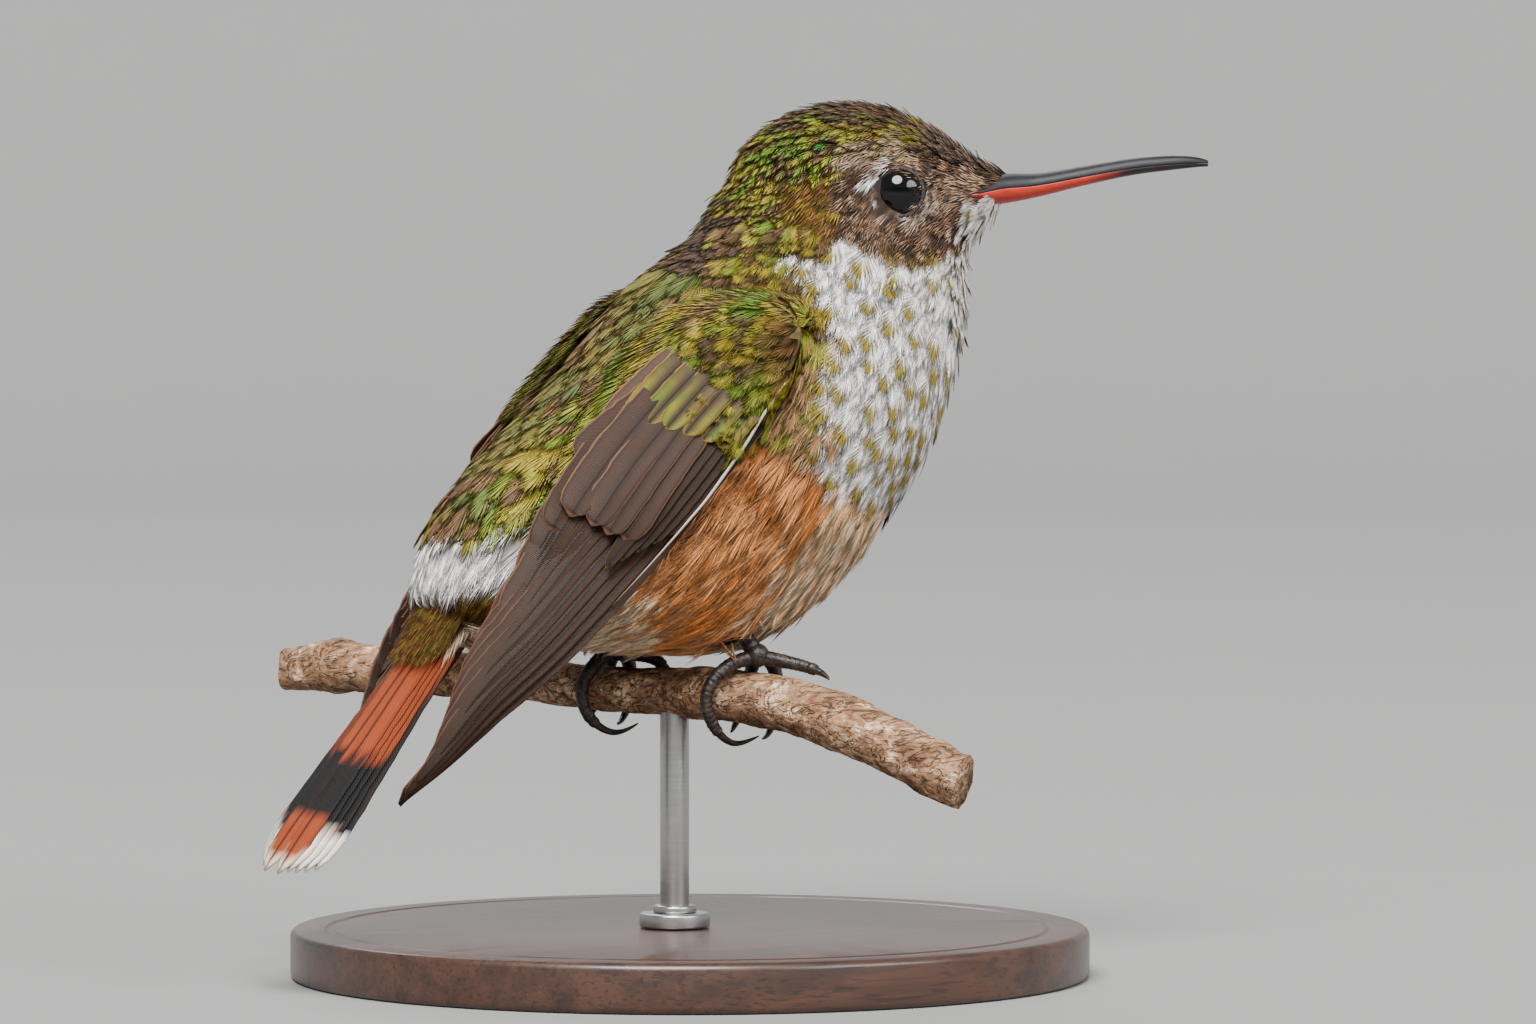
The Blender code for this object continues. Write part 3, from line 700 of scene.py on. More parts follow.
def plant(name, family, spines, facings, sizes, looks, kind, seed):
    """One object of feathers: sizes are half width, crown and thickness, and looks those of the markings."""
    templates = FAMILIES[family]
    pick = np.random.default_rng(seed).integers(0, len(templates), len(spines))
    unwrap = coat_unwrap(spines[:, 0])
    feathers = []
    for number, shape in enumerate(templates):
        rows = np.nonzero(pick == number)[0]
        if not len(rows):
            continue
        t, x, y = shape["t"], shape["x"], shape["y"]
        centre = along_spine(spines[rows], t)
        normal = unit(along_spine(facings[rows], t))
        slope = unit(along_spine(spines[rows], t + 0.08) - along_spine(spines[rows], t - 0.08))
        across = unit(np.cross(slope, normal))
        half, crown, thick = (sizes[rows, k][:, None, None] for k in range(3))
        placed = centre + across * x[None, :, None] * half
        placed = placed + normal * (y[None, :, None] * crown - shape["under"][None, :, None] * thick)
        starts = np.arange(len(rows)) * len(t)
        triangles = (starts[:, None, None] + shape["triangles"][None]).reshape(-1, 3)
        patch = np.stack([x, 2 * t - 1], axis=1) * OFBAKE_PATCH / 2
        bake_uv = (unwrap[rows][:, None] + patch[None]).reshape(-1, 2)
        vane_uv = np.tile(np.stack([shape["across"], t], axis=1), (len(rows), 1))
        tints = feather_colours(looks, rows, shape).reshape(-1, 3)
        feathers.append((placed.reshape(-1, 3), triangles, bake_uv, vane_uv, tints))
    item = feather_object(name, feathers, workshop["materials"][kind], ("OFBake", "Vane"), ("Plumage",))
    present(item)


# ---- tracts and markings

# Spacing, length, half width, height at the root and at the tip, crown, thickness, template family.
TRACTS = {
    "face": (0.27, 1.75, 0.27, -0.02, 0.42, 0.08, 0.06, "hair"),
    "forehead": (0.32, 1.5, 0.34, 0.0, 0.46, 0.04, 0.05, "scale"),
    "crown": (0.40, 1.9, 0.52, 0.0, 0.48, 0.05, 0.05, "scale"),
    "ear": (0.30, 2.3, 0.36, 0.0, 0.55, 0.08, 0.06, "hair"),
    "nape": (0.56, 2.8, 0.74, 0.0, 0.50, 0.06, 0.06, "contour"),
    "chin": (0.38, 1.8, 0.34, 0.0, 0.48, 0.05, 0.05, "silk"),
    "throat": (0.44, 2.6, 0.50, 0.0, 0.36, 0.02, 0.05, "silk"),
    "breast": (0.52, 3.3, 0.62, 0.0, 0.34, 0.02, 0.05, "silk"),
    "side": (0.58, 3.4, 0.80, 0.0, 0.55, 0.06, 0.05, "plume"),
    "back": (0.86, 4.6, 1.2, 0.0, 0.52, 0.08, 0.07, "contour"),
    "rump": (0.50, 3.6, 0.75, 0.0, 0.52, 0.07, 0.05, "plume"),
    "covert": (0.60, 3.6, 0.80, 0.0, 0.48, 0.07, 0.05, "plume"),
    "flank": (0.60, 5.0, 0.90, 0.0, 0.58, 0.07, 0.05, "plume"),
    "belly": (0.58, 4.2, 0.80, 0.0, 0.58, 0.07, 0.05, "plume"),
    "vent": (0.58, 3.2, 0.70, 0.0, 0.72, 0.10, 0.05, "plume"),
    "wing": (0.56, 2.9, 0.78, 0.0, 0.46, 0.07, 0.07, "contour"),
}
TRACT_NAMES = list(TRACTS)


def in_tracts(tracts, names):
    """Which feathers belong to one of the named tracts."""
    return np.isin(tracts, [TRACT_NAMES.index(name) for name in names])


def tract_table(first, last):
    """Columns of the table of tracts as an array, a row for each tract."""
    return np.array([TRACTS[name][first:last] for name in TRACT_NAMES])


# Edges of the markings in side view, as forward places at heights.
WHITE_EDGE = (
    (33.5, 7.6), (34.3, 8.6), (37.5, 7.7), (38.8, 8.2), (40.8, 8.8), (44.0, 6.9), (45.6, 5.5), (47.3, 4.9),
)
WHITE_LOWEST = (33.3, 6.5, 0.69)  # height of its lower edge, at a forward place, falling per unit forward
WHITE_TOP = ((4.9, 46.4), (7.4, 46.9), (8.4, 46.8), (9.6, 50.0))  # heights at forward places
JAW_EDGE = ((-2.0, -3.3), (-1.0, -4.3), (1.8, -5.0), (4.6, -5.1), (5.9, -3.7), (7.0, -1.3), (7.9, -0.2))
CINNAMON_EDGE = (32.3, 9.3, 0.56)  # height and forward place of its front corner, and the slope below it
BAND_TOP, BAND_LOW = 28.9, 25.2  # the white band over the rump
RUMP_FROM = -10.0
HEAD_END, NAPE_END, SIDE_END, VENT_FROM = 2.95, 4.9, 6.6, 9.2  # stations along the body line
VENT_TOP, VENT_FRONT = 24.6, -2.5


def curve_through(pairs, values):
    keys = np.array(sorted(pairs))
    return np.interp(values, keys[:, 0], keys[:, 1])


def tracts_of(points, wing_near, ragged=0.5):
    """The tract that each point of the skin belongs to."""
    station, _, dorsal, _ = body_field(points)
    h, _, v = head_frame(points)
    forward, height = side_frame(points)
    shift = (cell_noise(points, 0.9, 11) - 0.5) * 2 * ragged
    h, v, forward, height = h + shift, v - shift, forward + shift, height - 0.6 * shift
    head = station < HEAD_END
    brow = 2.1 - 0.2 * np.maximum(h - 3.0, 0)
    jaw = curve_through(JAW_EDGE, h)
    white = (forward > curve_through(WHITE_EDGE, height)) & (height < curve_through(WHITE_TOP, forward))
    low_white = WHITE_LOWEST[0] - (forward - WHITE_LOWEST[1]) * WHITE_LOWEST[2]
    upper_side = dorsal > 0.30 + 0.06 * shift
    choices = (
        (head & (h > -0.9) & (v < brow) & (v > jaw), "face"),
        (head & (h > -4.6) & (h <= -0.9) & (v > jaw) & (v < 0.2), "ear"),
        (head & (h > 3.6) & (v >= brow), "forehead"),
        (head & (h > 5.5) & (v <= jaw), "chin"),
        (head & (v > -4.2) | (head & (dorsal > 0.45)), "crown"),
        (head, "throat"),
        (wing_near, "wing"),
        ((station < NAPE_END) & ~white & (dorsal > -0.3), "nape"),
        ((height < BAND_LOW) & (forward < RUMP_FROM) & (dorsal > 0.0), "covert"),
        ((height < BAND_TOP) & (forward < RUMP_FROM) & (dorsal > 0.0), "rump"),
        (upper_side & ~white, "back"),
        (white & (height > low_white), "breast"),
        ((height > low_white) & (station < SIDE_END), "side"),
        ((height < VENT_TOP) & (forward < VENT_FRONT) | (station > VENT_FROM), "vent"),
        (forward < CINNAMON_EDGE[1] - (CINNAMON_EDGE[0] - height) * CINNAMON_EDGE[2], "flank"),
    )
    index = np.full(len(points), TRACT_NAMES.index("belly"))
    for mask, name in reversed(choices):
        index[mask] = TRACT_NAMES.index(name)
    return index


def colour(code):
    return np.array(linear(code))


def blend(base, other, share):
    share = np.asarray(share, float)[..., None]
    return base * (1 - share) + other * share


def chosen(name):
    """A plumage colour from the settings."""
    return np.array(getattr(workshop["plumage"], name))


def gloss_at(values):
    """The iridescent colours, teal to olive, at values from 0 to 1."""
    places = [p for p, _ in GLOSS]
    shades = np.array([chosen(name) for _, name in GLOSS])
    return np.stack([np.interp(values, places, shades[:, k]) for k in range(3)], axis=1)


GLOSS = (
    (0.0, "gloss_teal"), (0.22, "gloss_green"), (0.42, "gloss_lime"),
    (0.6, "gloss_gold"), (0.8, "gloss_bronze"), (1.0, "gloss_olive"),
)


BRIGHTEST = 0.88  # the most light that any feather reflects


def ragged_mask(low, high, values, noise, spread=0.35):
    """1 inside a band of values whose edges wander with the noise."""
    wander = (noise - 0.5) * 2 * spread
    return ramp(values + wander, low - 0.2, low + 0.2) * ramp(values + wander, high + 0.2, high - 0.2)


def markings(points, tracts, seed):
    """Colours and pattern strengths of the feather rooted at each point."""
    rng = np.random.default_rng(seed)
    count = len(points)
    chance = rng.random((count, 4))
    wide, fine = cell_noise(points, 2.4, 5), cell_noise(points, 0.8, 9)
    _, _, dorsal, turn = body_field(points)
    h, _, v = head_frame(points)
    forward, height = side_frame(points)
    sheen = 0.5 * wide + 0.25 * fine + 0.25 * chance[:, 0]
    gloss = gloss_at(np.clip(0.15 + 0.75 * sheen * 1.25 - 0.1, 0, 1))
    dusk = np.tile(chosen("dusk"), (count, 1))
    looks = {
        "root": dusk * 0.8,
        "main": gloss.copy(),
        "fringe": np.tile(chosen("fringe"), (count, 1)),
        "tip": dusk * 0.4,
        "fringe_share": np.full(count, 0.5),
        "tip_share": np.full(count, 0.7),
        # Streak strength: random barb-to-barb tone, and also the depth of the painted shade on the barb
        # sides.
        "streak": np.full(count, 0.62),
        "spot": np.zeros(count),
        "spot_width": np.full(count, 0.6),
        "spot_colour": np.tile(colour("#a89a22"), (count, 1)),
    }

    def paint(mask, main=None, fringe=None, root=None, tip=None, **others):
        share = np.asarray(mask, float)
        parts = {"main": main, "fringe": fringe, "root": root, "tip": tip, **others}
        for key, value in parts.items():
            if value is None:
                continue
            if isinstance(value, str):
                value = colour(value)
            if looks[key].ndim == 2:
                looks[key] = blend(looks[key], value, share)
            else:
                looks[key] = looks[key] * (1 - share) + value * share

    is_a = {name: tracts == i for i, name in enumerate(TRACT_NAMES)}
    forehead, face, ear, side, flank, belly, vent = (
        is_a[name] for name in ("forehead", "face", "ear", "side", "flank", "belly", "vent")
    )
    top_dusk = ramp(dorsal + (fine - 0.5) * 0.3, 0.80, 0.97)
    # Head: dusky hair-like feathers along the top, gold-green scales at the side.
    crown = is_a["crown"] | is_a["nape"]
    paint(crown, fringe_share=0.35, tip_share=0.65)
    along_top = np.maximum(ramp(dorsal + (fine - 0.5) * 0.35, 0.62, 0.86) * ramp(h, -6.0, -4.0), top_dusk)
    paint(crown * along_top, "#54453a", "#6d5b4b", "#1d1510")
    paint(crown * (chance[:, 1] < 0.3), "#6a5238", "#93704a", "#241b14")
    paint(forehead, "#574337", "#8c776a", "#221917", "#3c2e26", tip_share=0.4)
    paint(forehead * ramp(h, 5.0, 3.6) * ramp(v, 4.6, 3.6) * (chance[:, 1] < 0.6), "#80750b")
    brows = ragged_mask(5.2, 6.6, h, fine) * ragged_mask(0.5, 1.3, v, fine) * (chance[:, 2] < 0.35)
    paint(brows * (forehead | face), "#8c4e23", "#ac7140")
    # Face: dusky brown bristles with pale tips, paler under the eye and white behind it.
    paint(face, chosen("face"), "#89644a", "#2a1c15", "#dbb390", streak=0.1)
    paint(face, tip_share=np.where(chance[:, 1] < 0.4, 0.95, 0.1))
    paint(face * (chance[:, 3] < 0.15), "#a3866f", "#c9b09b", tip="#dccab8", tip_share=0.6)
    paint(face * (chance[:, 3] > 0.55), "#35261c", "#46342a", "#1e140e", tip_share=0.1)
    lores = ragged_mask(4.9, 7.4, h, fine) * ragged_mask(-1.3, 0.6, v, fine) * face
    paint(lores * 0.2, "#9a806e", "#c5ab99")
    from_eye = np.hypot(h - EYE_PLACE[0], v)
    pale_line = ramp(from_eye, 2.5, 2.2) * (h > 3.0) * (v < 0.2) * (chance[:, 2] < 0.6)
    paint(pale_line * face, "#c9b3a0", tip="#eadccd")
    paint(face * ramp(v, -3.6, -4.8) * (chance[:, 2] < 0.3), "#8d8430", tip="#b0a650")
    brow_line = ragged_mask(-1.0, 3.0, h, fine) * ragged_mask(1.5, 2.7, v - 0.12 * (h - 1), fine)
    paint(brow_line * 0.75, "#a58a70", "#cdb79f", "#5a473c", "#d9c7b1")
    behind_eye = (h < 2.6) & (v > -0.9) & (v < 2.0) & (near_eye(points)[0] < 4.0)
    wedge = 2.06 + 0.94 * ramp(np.abs(v - 0.15), 1.0, 0.25)
    behind_eye = behind_eye * ramp(from_eye + (fine - 0.5) * 0.2, wedge + 0.1, wedge - 0.1)
    paint(behind_eye * (from_eye > 1.86), "#e9e4df", "#f2eeea", "#c9c0b8", "#f5f2ee", streak=0.05,
          tip_share=0.3)
    # Ear coverts: long warm brown hairs shot with gold.
    paint(ear, "#78501a", "#a67731", "#2a1c0f", "#ca9c55", streak=0.15,
          tip_share=np.where(chance[:, 1] < 0.35, 0.8, 0.2))
    paint(ear * (chance[:, 2] < 0.35), "#8d7a10", "#a89432")
    paint(ear * (chance[:, 2] > 0.75), "#3d2c1a", "#5b4226")
    near_face = ear * ramp(h + (fine - 0.5) * 1.5, -2.4, -1.2)
    paint(near_face * (chance[:, 0] < 0.7), "#4c3626", "#7b5f48")
    # Throat and breast: white, with olive-gold spots that narrow and darken towards the front.
    white = is_a["chin"] | is_a["throat"] | is_a["breast"]
    frontal = ramp(np.abs(np.sin(turn)), 0.62, 0.25)
    paint(white, chosen("white"), "#f8f7f5", "#dcd8d3", "#faf9f8", streak=0.12, tip_share=0.6)
    paint(white, spot_colour=blend(colour("#7d6c0a"), colour("#3d2a0d"), frontal))
    looks["spot_width"] = 0.5 + 0.45 * (1 - frontal)
    paint(is_a["chin"], "#d9d2c9", streak=0.2)
    # Side of the breast: brown-buff and green, comb-edged.
    paint(side, "#b08557", "#dab078", "#4a3b33", "#f9e2bc", tip_share=0.4, streak=0.25)
    paint(side * (chance[:, 0] < 0.36), "#8f9420", "#bfb045")
    # Back: larger feathers, dusky at the root, pinkish brown at the fringe.
    back = is_a["back"]
    middle = blend(looks["main"], colour("#53483c"), 0.6)
    paint(back * ramp(dorsal, 0.86, 0.98), middle, "#736250")
    paint(back * (chance[:, 1] < 0.25), "#725a40", "#957148", fringe_share=0.8)
    paint(is_a["rump"], chosen("white"), "#f7f7f7", "#958f89", "#f7f7f7", streak=0.08)
    paint(is_a["covert"], "#6a5a10", "#8a4a1a", "#2b1f12", "#b98a58", fringe_share=0.8)
    # Flank: cinnamon plumes; belly: buff; vent: cream down. All three are painted lighter towards the twig,
    # as painted light against the shade under the body.
    deeper = chance[:, 0] < 0.3
    paint(flank, chosen("cinnamon"), "#f5b277", "#72482d", "#f7e0b5", streak=0.30, tip_share=0.45)
    paint(flank * deeper, "#bb6c2d", "#d0893d", tip="#e8a865")
    paint(belly, chosen("buff"), "#f7e6c4", "#8f6f54", "#f7f1e4", streak=0.28, tip_share=0.45)
    paint(belly * deeper, "#e3ab74", tip="#f7ddab")
    buff = ramp(height + 1.2 * fine, 22.8, 25.5)
    paint(flank * (1 - buff) * ramp(forward, -4.5, -7.5), "#dcb283", "#e6c095", tip="#eed3ac")
    paint(vent, "#e8c8a0", "#eed5b4", "#b0906f", "#f0e1ca", streak=0.1)
    # Painted light: flank, belly and vent colours grow up to 1.62 times brighter from 29 mm down to 21 mm
    # height, capped at BRIGHTEST.
    painted_underlight = (1 + 0.62 * ramp(height, 29.0, 21.0) * (flank | belly | vent))[:, None]
    for part in ("main", "fringe", "tip"):
        strongest = looks[part].max(axis=1, keepdims=True)
        looks[part] = looks[part] * np.minimum(painted_underlight, BRIGHTEST / np.maximum(strongest, 0.01))
    # Wing coverts: bronze green with combed dark fringes, warmer along the bend.
    wing = is_a["wing"]
    paint(wing, blend(gloss, colour("#66600f"), 0.35), "#6f5b24", tip_share=0.7)
    paint(wing * (chance[:, 2] < 0.3), "#5f4e30", "#7a6238")
    bend = ramp(forward + (fine - 0.5), 4.2, 5.4)
    paint(wing * bend, np.where((chance[:, 0] < 0.5)[:, None], colour("#a79111"), colour("#7d5a2f")))
    return looks


def feather_colours(looks, rows, shape):
    """Colours of each vertex of the feathers in the given rows."""
    t, x, reach = shape["t"], np.abs(shape["x"]), shape["reach"]
    size = (len(rows), len(t), 3)
    own = {key: values[rows][:, None] for key, values in looks.items()}
    inner = np.broadcast_to(ramp(t, 0.10, 0.45), size[:2])
    shade = blend(np.broadcast_to(own["root"], size), own["main"], inner)
    outer = ramp(t, 0.60, 0.95) * ramp(reach, 0.5, 0.9)
    shade = blend(shade, own["fringe"], outer[None] * own["fringe_share"])
    pale_barbs = (shape["shade"] > 0.72)[None] * own["fringe_share"] * ramp(t, 0.3, 0.6)[None]
    shade = blend(shade, own["fringe"], pale_barbs)
    spot = own["spot"] * (ramp(t, 0.40, 0.52) * ramp(t, 1.02, 0.94))[None]
    spot = spot * np.clip((own["spot_width"] - x[None]) * 4 + 0.5, 0, 1)
    tips = ramp(reach, 0.75, 1.0) * ramp(t, 0.25, 0.6)
    shade = blend(shade, own["tip"], tips[None] * own["tip_share"])
    shade = blend(shade, own["spot_colour"], spot)
    shade = shade * (1 - own["streak"] * (1 - shape["shade"])[None])[..., None]
    # Painted shade: the sides of each barb are darker than its ridge, by 0.18 plus half the streak strength.
    return shade * (1 - (0.18 + 0.5 * own["streak"]) * shape["under"][None])[..., None]


# ---- materials
# A noise or stripe scale is 1 over the size of its pattern in metres, so 2000 is half a millimetre.


def new_material(name):
    """A material without nodes, and the function that adds one to it."""
    made = bpy.data.materials.new(name)
    made.use_nodes = True
    made.node_tree.nodes.clear()
    return made, partial(add_node, made.node_tree)


def finish_material(add, specular, **settings):
    """The shader with its links and values, and the output."""
    add("OutputMaterial", Surface=add("BsdfPrincipled", Specular_IOR_Level=specular, **settings))


def barb_stripes(add, barbs):
    """Stripes that slant from the shaft to the edge of a vane, the distance from the shaft and along it."""
    uv = add("UVMap", uv_map="Vane")
    x = add("SeparateXYZ", Vector=uv)
    along = x.node.outputs[1]
    centred = add("Math", x, 0.5, operation="SUBTRACT")
    half = add("Math", centred, operation="ABSOLUTE")
    side = add("Math", half, 2.0, operation="MULTIPLY")
    slanted = add("Math", side, -0.12, along, operation="MULTIPLY_ADD")
    turns = add("Math", slanted, 2 * math.pi * barbs, operation="MULTIPLY")
    wave = add("Math", turns, operation="SINE")
    return add("MapRange", wave, -1.0), side, along


def plumage_material(name, roughness, specular, metallic=0.0, sheen=0.0):
    # Keratin barbs of small body feathers. The ridge of each barb is light and its sides fall into shade,
    # which draws the fine combed lines; metallic green barbs mirror the light in their own colour.
    made, add = new_material(name)
    uv = add("UVMap", uv_map="Vane")
    across = add("SeparateXYZ", Vector=uv)
    ridge = add("Math", across, 0.5, operation="PINGPONG")
    shade = add("MapRange", ridge, 0.0, 0.5, 0.72, 1.1)
    spot = add("TexCoord", out="Object")
    dust = add("TexNoise", Vector=spot, Scale=3500.0, Detail=2.0)  # barbules, drawn coarser to show
    mottle = add("MapRange", dust, 0.3, 0.7, 0.8, 1.15)
    both = add("Math", shade, mottle, operation="MULTIPLY")
    tint = add("VertexColor", layer_name="Plumage")
    lit = add("VectorMath", tint, operation="SCALE", Scale=both)
    bump = add("Bump", Strength=0.3, Distance=0.00004, Height=dust)
    finish_material(
        add, specular, Base_Color=lit, Roughness=roughness, Metallic=metallic, Normal=bump,
        Sheen_Weight=sheen, Sheen_Roughness=0.4,
    )
    return made


def vane_material(name, barbs, roughness):
    # Keratin of the long feathers: satin, with slanted barb lines, a dark shaft and a thin edge in the Edge
    # colour: a worn fringe on the wing feathers, a painted shade line on the tail feathers.
    made, add = new_material(name)
    stripes, side, along = barb_stripes(add, barbs)
    rim = add("MapRange", side, 0.90, 0.95)
    end = add("MapRange", along, 0.978, 0.988)
    edge = add("Math", rim, end, operation="MAXIMUM")
    shaft = add("MapRange", side, 0.03, 0.08, 0.4)
    barb_shade = add("MapRange", stripes, 0.0, 1.0, 0.74, 1.14)
    gutter = add("MapRange", side, 0.72, 0.87, 1.0, 0.7)
    lines = add("Math", shaft, barb_shade, operation="MULTIPLY")
    shade = add("Math", lines, gutter, operation="MULTIPLY")
    tint = add("VertexColor", layer_name="Plumage")
    lit = add("VectorMath", tint, operation="SCALE", Scale=shade)
    fringe = add("VertexColor", layer_name="Edge")
    coloured = add("Mix", data_type="RGBA", Factor=edge, A=lit, B=fringe)
    bump = add("Bump", Strength=0.5, Distance=0.00006, Height=stripes)
    finish_material(add, 0.2, Base_Color=coloured, Roughness=roughness, Normal=bump)
    return made


def skin_material():
    # Skin and down under the coat, dull and painted dark: painted shade that shows in the gaps between
    # feathers.
    made, add = new_material("bird skin painted as shade")
    spot = add("TexCoord", out="Object")
    pores = add("TexNoise", Vector=spot, Scale=2500.0, Detail=4.0)
    # Painted shade: the skin's colour is cut to 0.25 to 0.6 of the plumage colour.
    shade = add("MapRange", pores, 0.0, 1.0, 0.25, 0.6)
    tint = add("VertexColor", layer_name="Plumage")
    lit = add("VectorMath", tint, operation="SCALE", Scale=shade)
    bump = add("Bump", Strength=0.4, Distance=0.0001, Height=pores)
    finish_material(add, 0.3, Base_Color=lit, Roughness=0.8, Normal=bump)
    return made


def horn_material(name, base, tip, fade, roughness, specular):
    # Polished keratin of the bill: low even gloss, faint lengthwise growth lines, darker towards the tip.
    made, add = new_material(name)
    share = add("VertexColor", layer_name="Station")
    spot = add("TexCoord", out="Object")
    laid = add("Mapping", Vector=spot, Rotation=(0, 0, math.radians(-HEAD_YAW)), Scale=(0.06, 1, 1))
    lines = add("TexNoise", Vector=laid, Scale=3000.0, Detail=3.0)
    wander = add("Math", lines, 0.12, share, operation="MULTIPLY_ADD")
    dark = add("MapRange", wander, fade[0] + 0.06, fade[1] + 0.06)
    mixed = add("Mix", data_type="RGBA", Factor=dark, A=base, B=tip)
    worn = add("MapRange", lines, 0.3, 0.7, 0.8, 1.2)
    lit = add("VectorMath", mixed, operation="SCALE", Scale=worn)
    rough = add("MapRange", lines, 0.0, 1.0, roughness - 0.06, roughness + 0.08)
    bump = add("Bump", Strength=0.35, Distance=0.00005, Height=lines)
    finish_material(add, specular, Base_Color=lit, Roughness=rough, Normal=bump)
    return made


def scute_material(name, low, high, scale, roughness):
    # Horny scales and claws: near black with browner wear in patches, a dull oily gloss.
    made, add = new_material(name)
    spot = add("TexCoord", out="Object")
    mottle = add("TexNoise", Vector=spot, Scale=scale, Detail=4.0, Roughness=0.6)
    worn = add("MapRange", mottle, 0.42, 0.68)
    mixed = add("Mix", data_type="RGBA", Factor=worn, A=low, B=high)
    rough = add("MapRange", mottle, 0.0, 1.0, roughness - 0.1, roughness + 0.15)
    cells = add("TexVoronoi", feature="DISTANCE_TO_EDGE", Vector=spot, Scale=scale * 1.3)
    bump = add("Bump", Strength=0.6, Distance=0.00006, Height=cells)
    finish_material(add, 0.4, Base_Color=mixed, Roughness=rough, Normal=bump)
    return made


def eyeball_material(brown):
    # A wet cornea over a black pupil and a very dark brown iris: sharp small highlights on near black.
    made, add = new_material("wet dark eye")
    angle = add("VertexColor", layer_name="Iris")
    iris = add("MapRange", angle, 0.21, 0.26)
    spot = add("TexCoord", out="Object")
    flecks = add("TexNoise", Vector=spot, Scale=5000.0, Detail=3.0)
    dark = [0.4 * part for part in brown]
    ring = add("Mix", data_type="RGBA", Factor=flecks, A=dark, B=brown)
    mixed = add("Mix", data_type="RGBA", Factor=iris, A=linear("#030202"), B=ring)
    finish_material(
        add, 0.3, Base_Color=mixed, Roughness=0.06, Coat_Weight=0.4, Coat_Roughness=0.02, IOR=1.38
    )
    return made


def bark_material(settings):
    # Dry twig bark: matt, mottled grey-tan with pale flaking patches, fissures along it painted darker as
    # painted shade, and fine fibres.
    made, add = new_material("dry bark")
    spot = add("TexCoord", out="Object")
    laid = add("Mapping", Vector=spot, Rotation=(0, 0, math.radians(-HEAD_YAW)), Scale=(0.45, 1, 1))
    patches = add("TexNoise", Vector=laid, Scale=620.0, Detail=5.0, Roughness=0.62, Distortion=1.2)
    fibres = add("Mapping", Vector=laid, Scale=(0.22, 1, 1))
    fine = add("TexNoise", Vector=fibres, Scale=3600.0, Detail=4.0, Roughness=0.6, Distortion=0.6)
    drawn = add("Mapping", Vector=laid, Scale=(0.5, 1, 1))
    veins = add("TexNoise", Vector=drawn, Scale=1100.0, Detail=3.0, Distortion=1.5)
    centred = add("Math", veins, 0.5, operation="SUBTRACT")
    cracks = add("Math", centred, operation="ABSOLUTE")
    open_crack = add("MapRange", cracks, 0.0, 0.035)
    rings = add("TexNoise", Vector=laid, Scale=1500.0, Detail=3.0, Roughness=0.7, Distortion=2.5)
    body = settings.bark
    low = add("MapRange", patches, 0.34, 0.52)
    shaded = add("Mix", data_type="RGBA", Factor=low, A=linear("#5b4231"), B=body)
    high = add("MapRange", patches, 0.54, 0.66)
    flaked = add("Mix", data_type="RGBA", Factor=high, A=shaded, B=settings.bark_pale)
    curls = add("MapRange", rings, 0.50, 0.62)
    rusty = add("Mix", data_type="RGBA", Factor=curls, A=flaked, B=linear("#7c5336"))
    spread = add("MapRange", fine, 0.3, 0.7, 0.62, 1.25)
    # Painted shade: the colour in the fissures drops to 0.42.
    crack_shade = add("MapRange", open_crack, 0.0, 1.0, 0.42)
    shade = add("Math", spread, crack_shade, operation="MULTIPLY")
    lit = add("VectorMath", rusty, operation="SCALE", Scale=shade)
    relief = add("Math", fine, 0.5, open_crack, operation="MULTIPLY_ADD")
    height = add("Math", relief, patches, operation="ADD")
    bump = add("Bump", Strength=0.9, Distance=0.00016, Height=height)
    finish_material(add, 0.2, Base_Color=lit, Roughness=0.88, Normal=bump)
    return made


def cut_wood_material(settings):
    # Sawn end grain: growth rings round the pith, pale and dry.
    made, add = new_material("sawn end grain")
    centre = add("VertexColor", layer_name="Ring")
    spot = add("TexCoord", out="Object")
    wander = add("TexNoise", Vector=spot, Scale=900.0, Detail=3.0)
    bent = add("Math", wander, 0.35, centre, operation="MULTIPLY_ADD")
    turns = add("Math", bent, 32.0, operation="MULTIPLY")
    wave = add("Math", turns, operation="SINE")
    rings = add("MapRange", wave, -1.0, 1.0, 0.62, 1.05)
    lit = add("VectorMath", settings.cut_wood, operation="SCALE", Scale=rings)
    bump = add("Bump", Strength=0.5, Distance=0.00006, Height=rings)
    finish_material(add, 0.2, Base_Color=lit, Roughness=0.85, Normal=bump)
    return made


def stained_wood_material(settings):
    # Walnut turned on a lathe, stained and satin varnished: straight grain, open pores, a clear coat.
    made, add = new_material("stained turned walnut")
    spot = add("TexCoord", out="Object")
    laid = add("Mapping", Vector=spot, Rotation=(0, 0, math.radians(-20)), Scale=(0.09, 1, 1))
    grain = add("TexNoise", Vector=laid, Scale=700.0, Detail=6.0, Roughness=0.6, Distortion=0.5)
    bands = add("MapRange", grain, 0.35, 0.65)
    pores_at = add("Mapping", Vector=laid, Scale=(0.5, 1, 1))
    pores = add("TexNoise", Vector=pores_at, Scale=3800.0, Detail=2.0)
    open_pores = add("MapRange", pores, 0.36, 0.46, 0.55)
    light = tuple(min(1.0, 2.4 * part) for part in settings.wood)
    mixed = add("Mix", data_type="RGBA", Factor=bands, A=settings.wood, B=light)
    lit = add("VectorMath", mixed, operation="SCALE", Scale=open_pores)
    bump = add("Bump", Strength=0.25, Distance=0.00005, Height=open_pores)
    finish_material(
        add, 0.4, Base_Color=lit, Roughness=0.5, Normal=bump, Coat_Weight=0.5, Coat_Roughness=0.22
    )
    return made


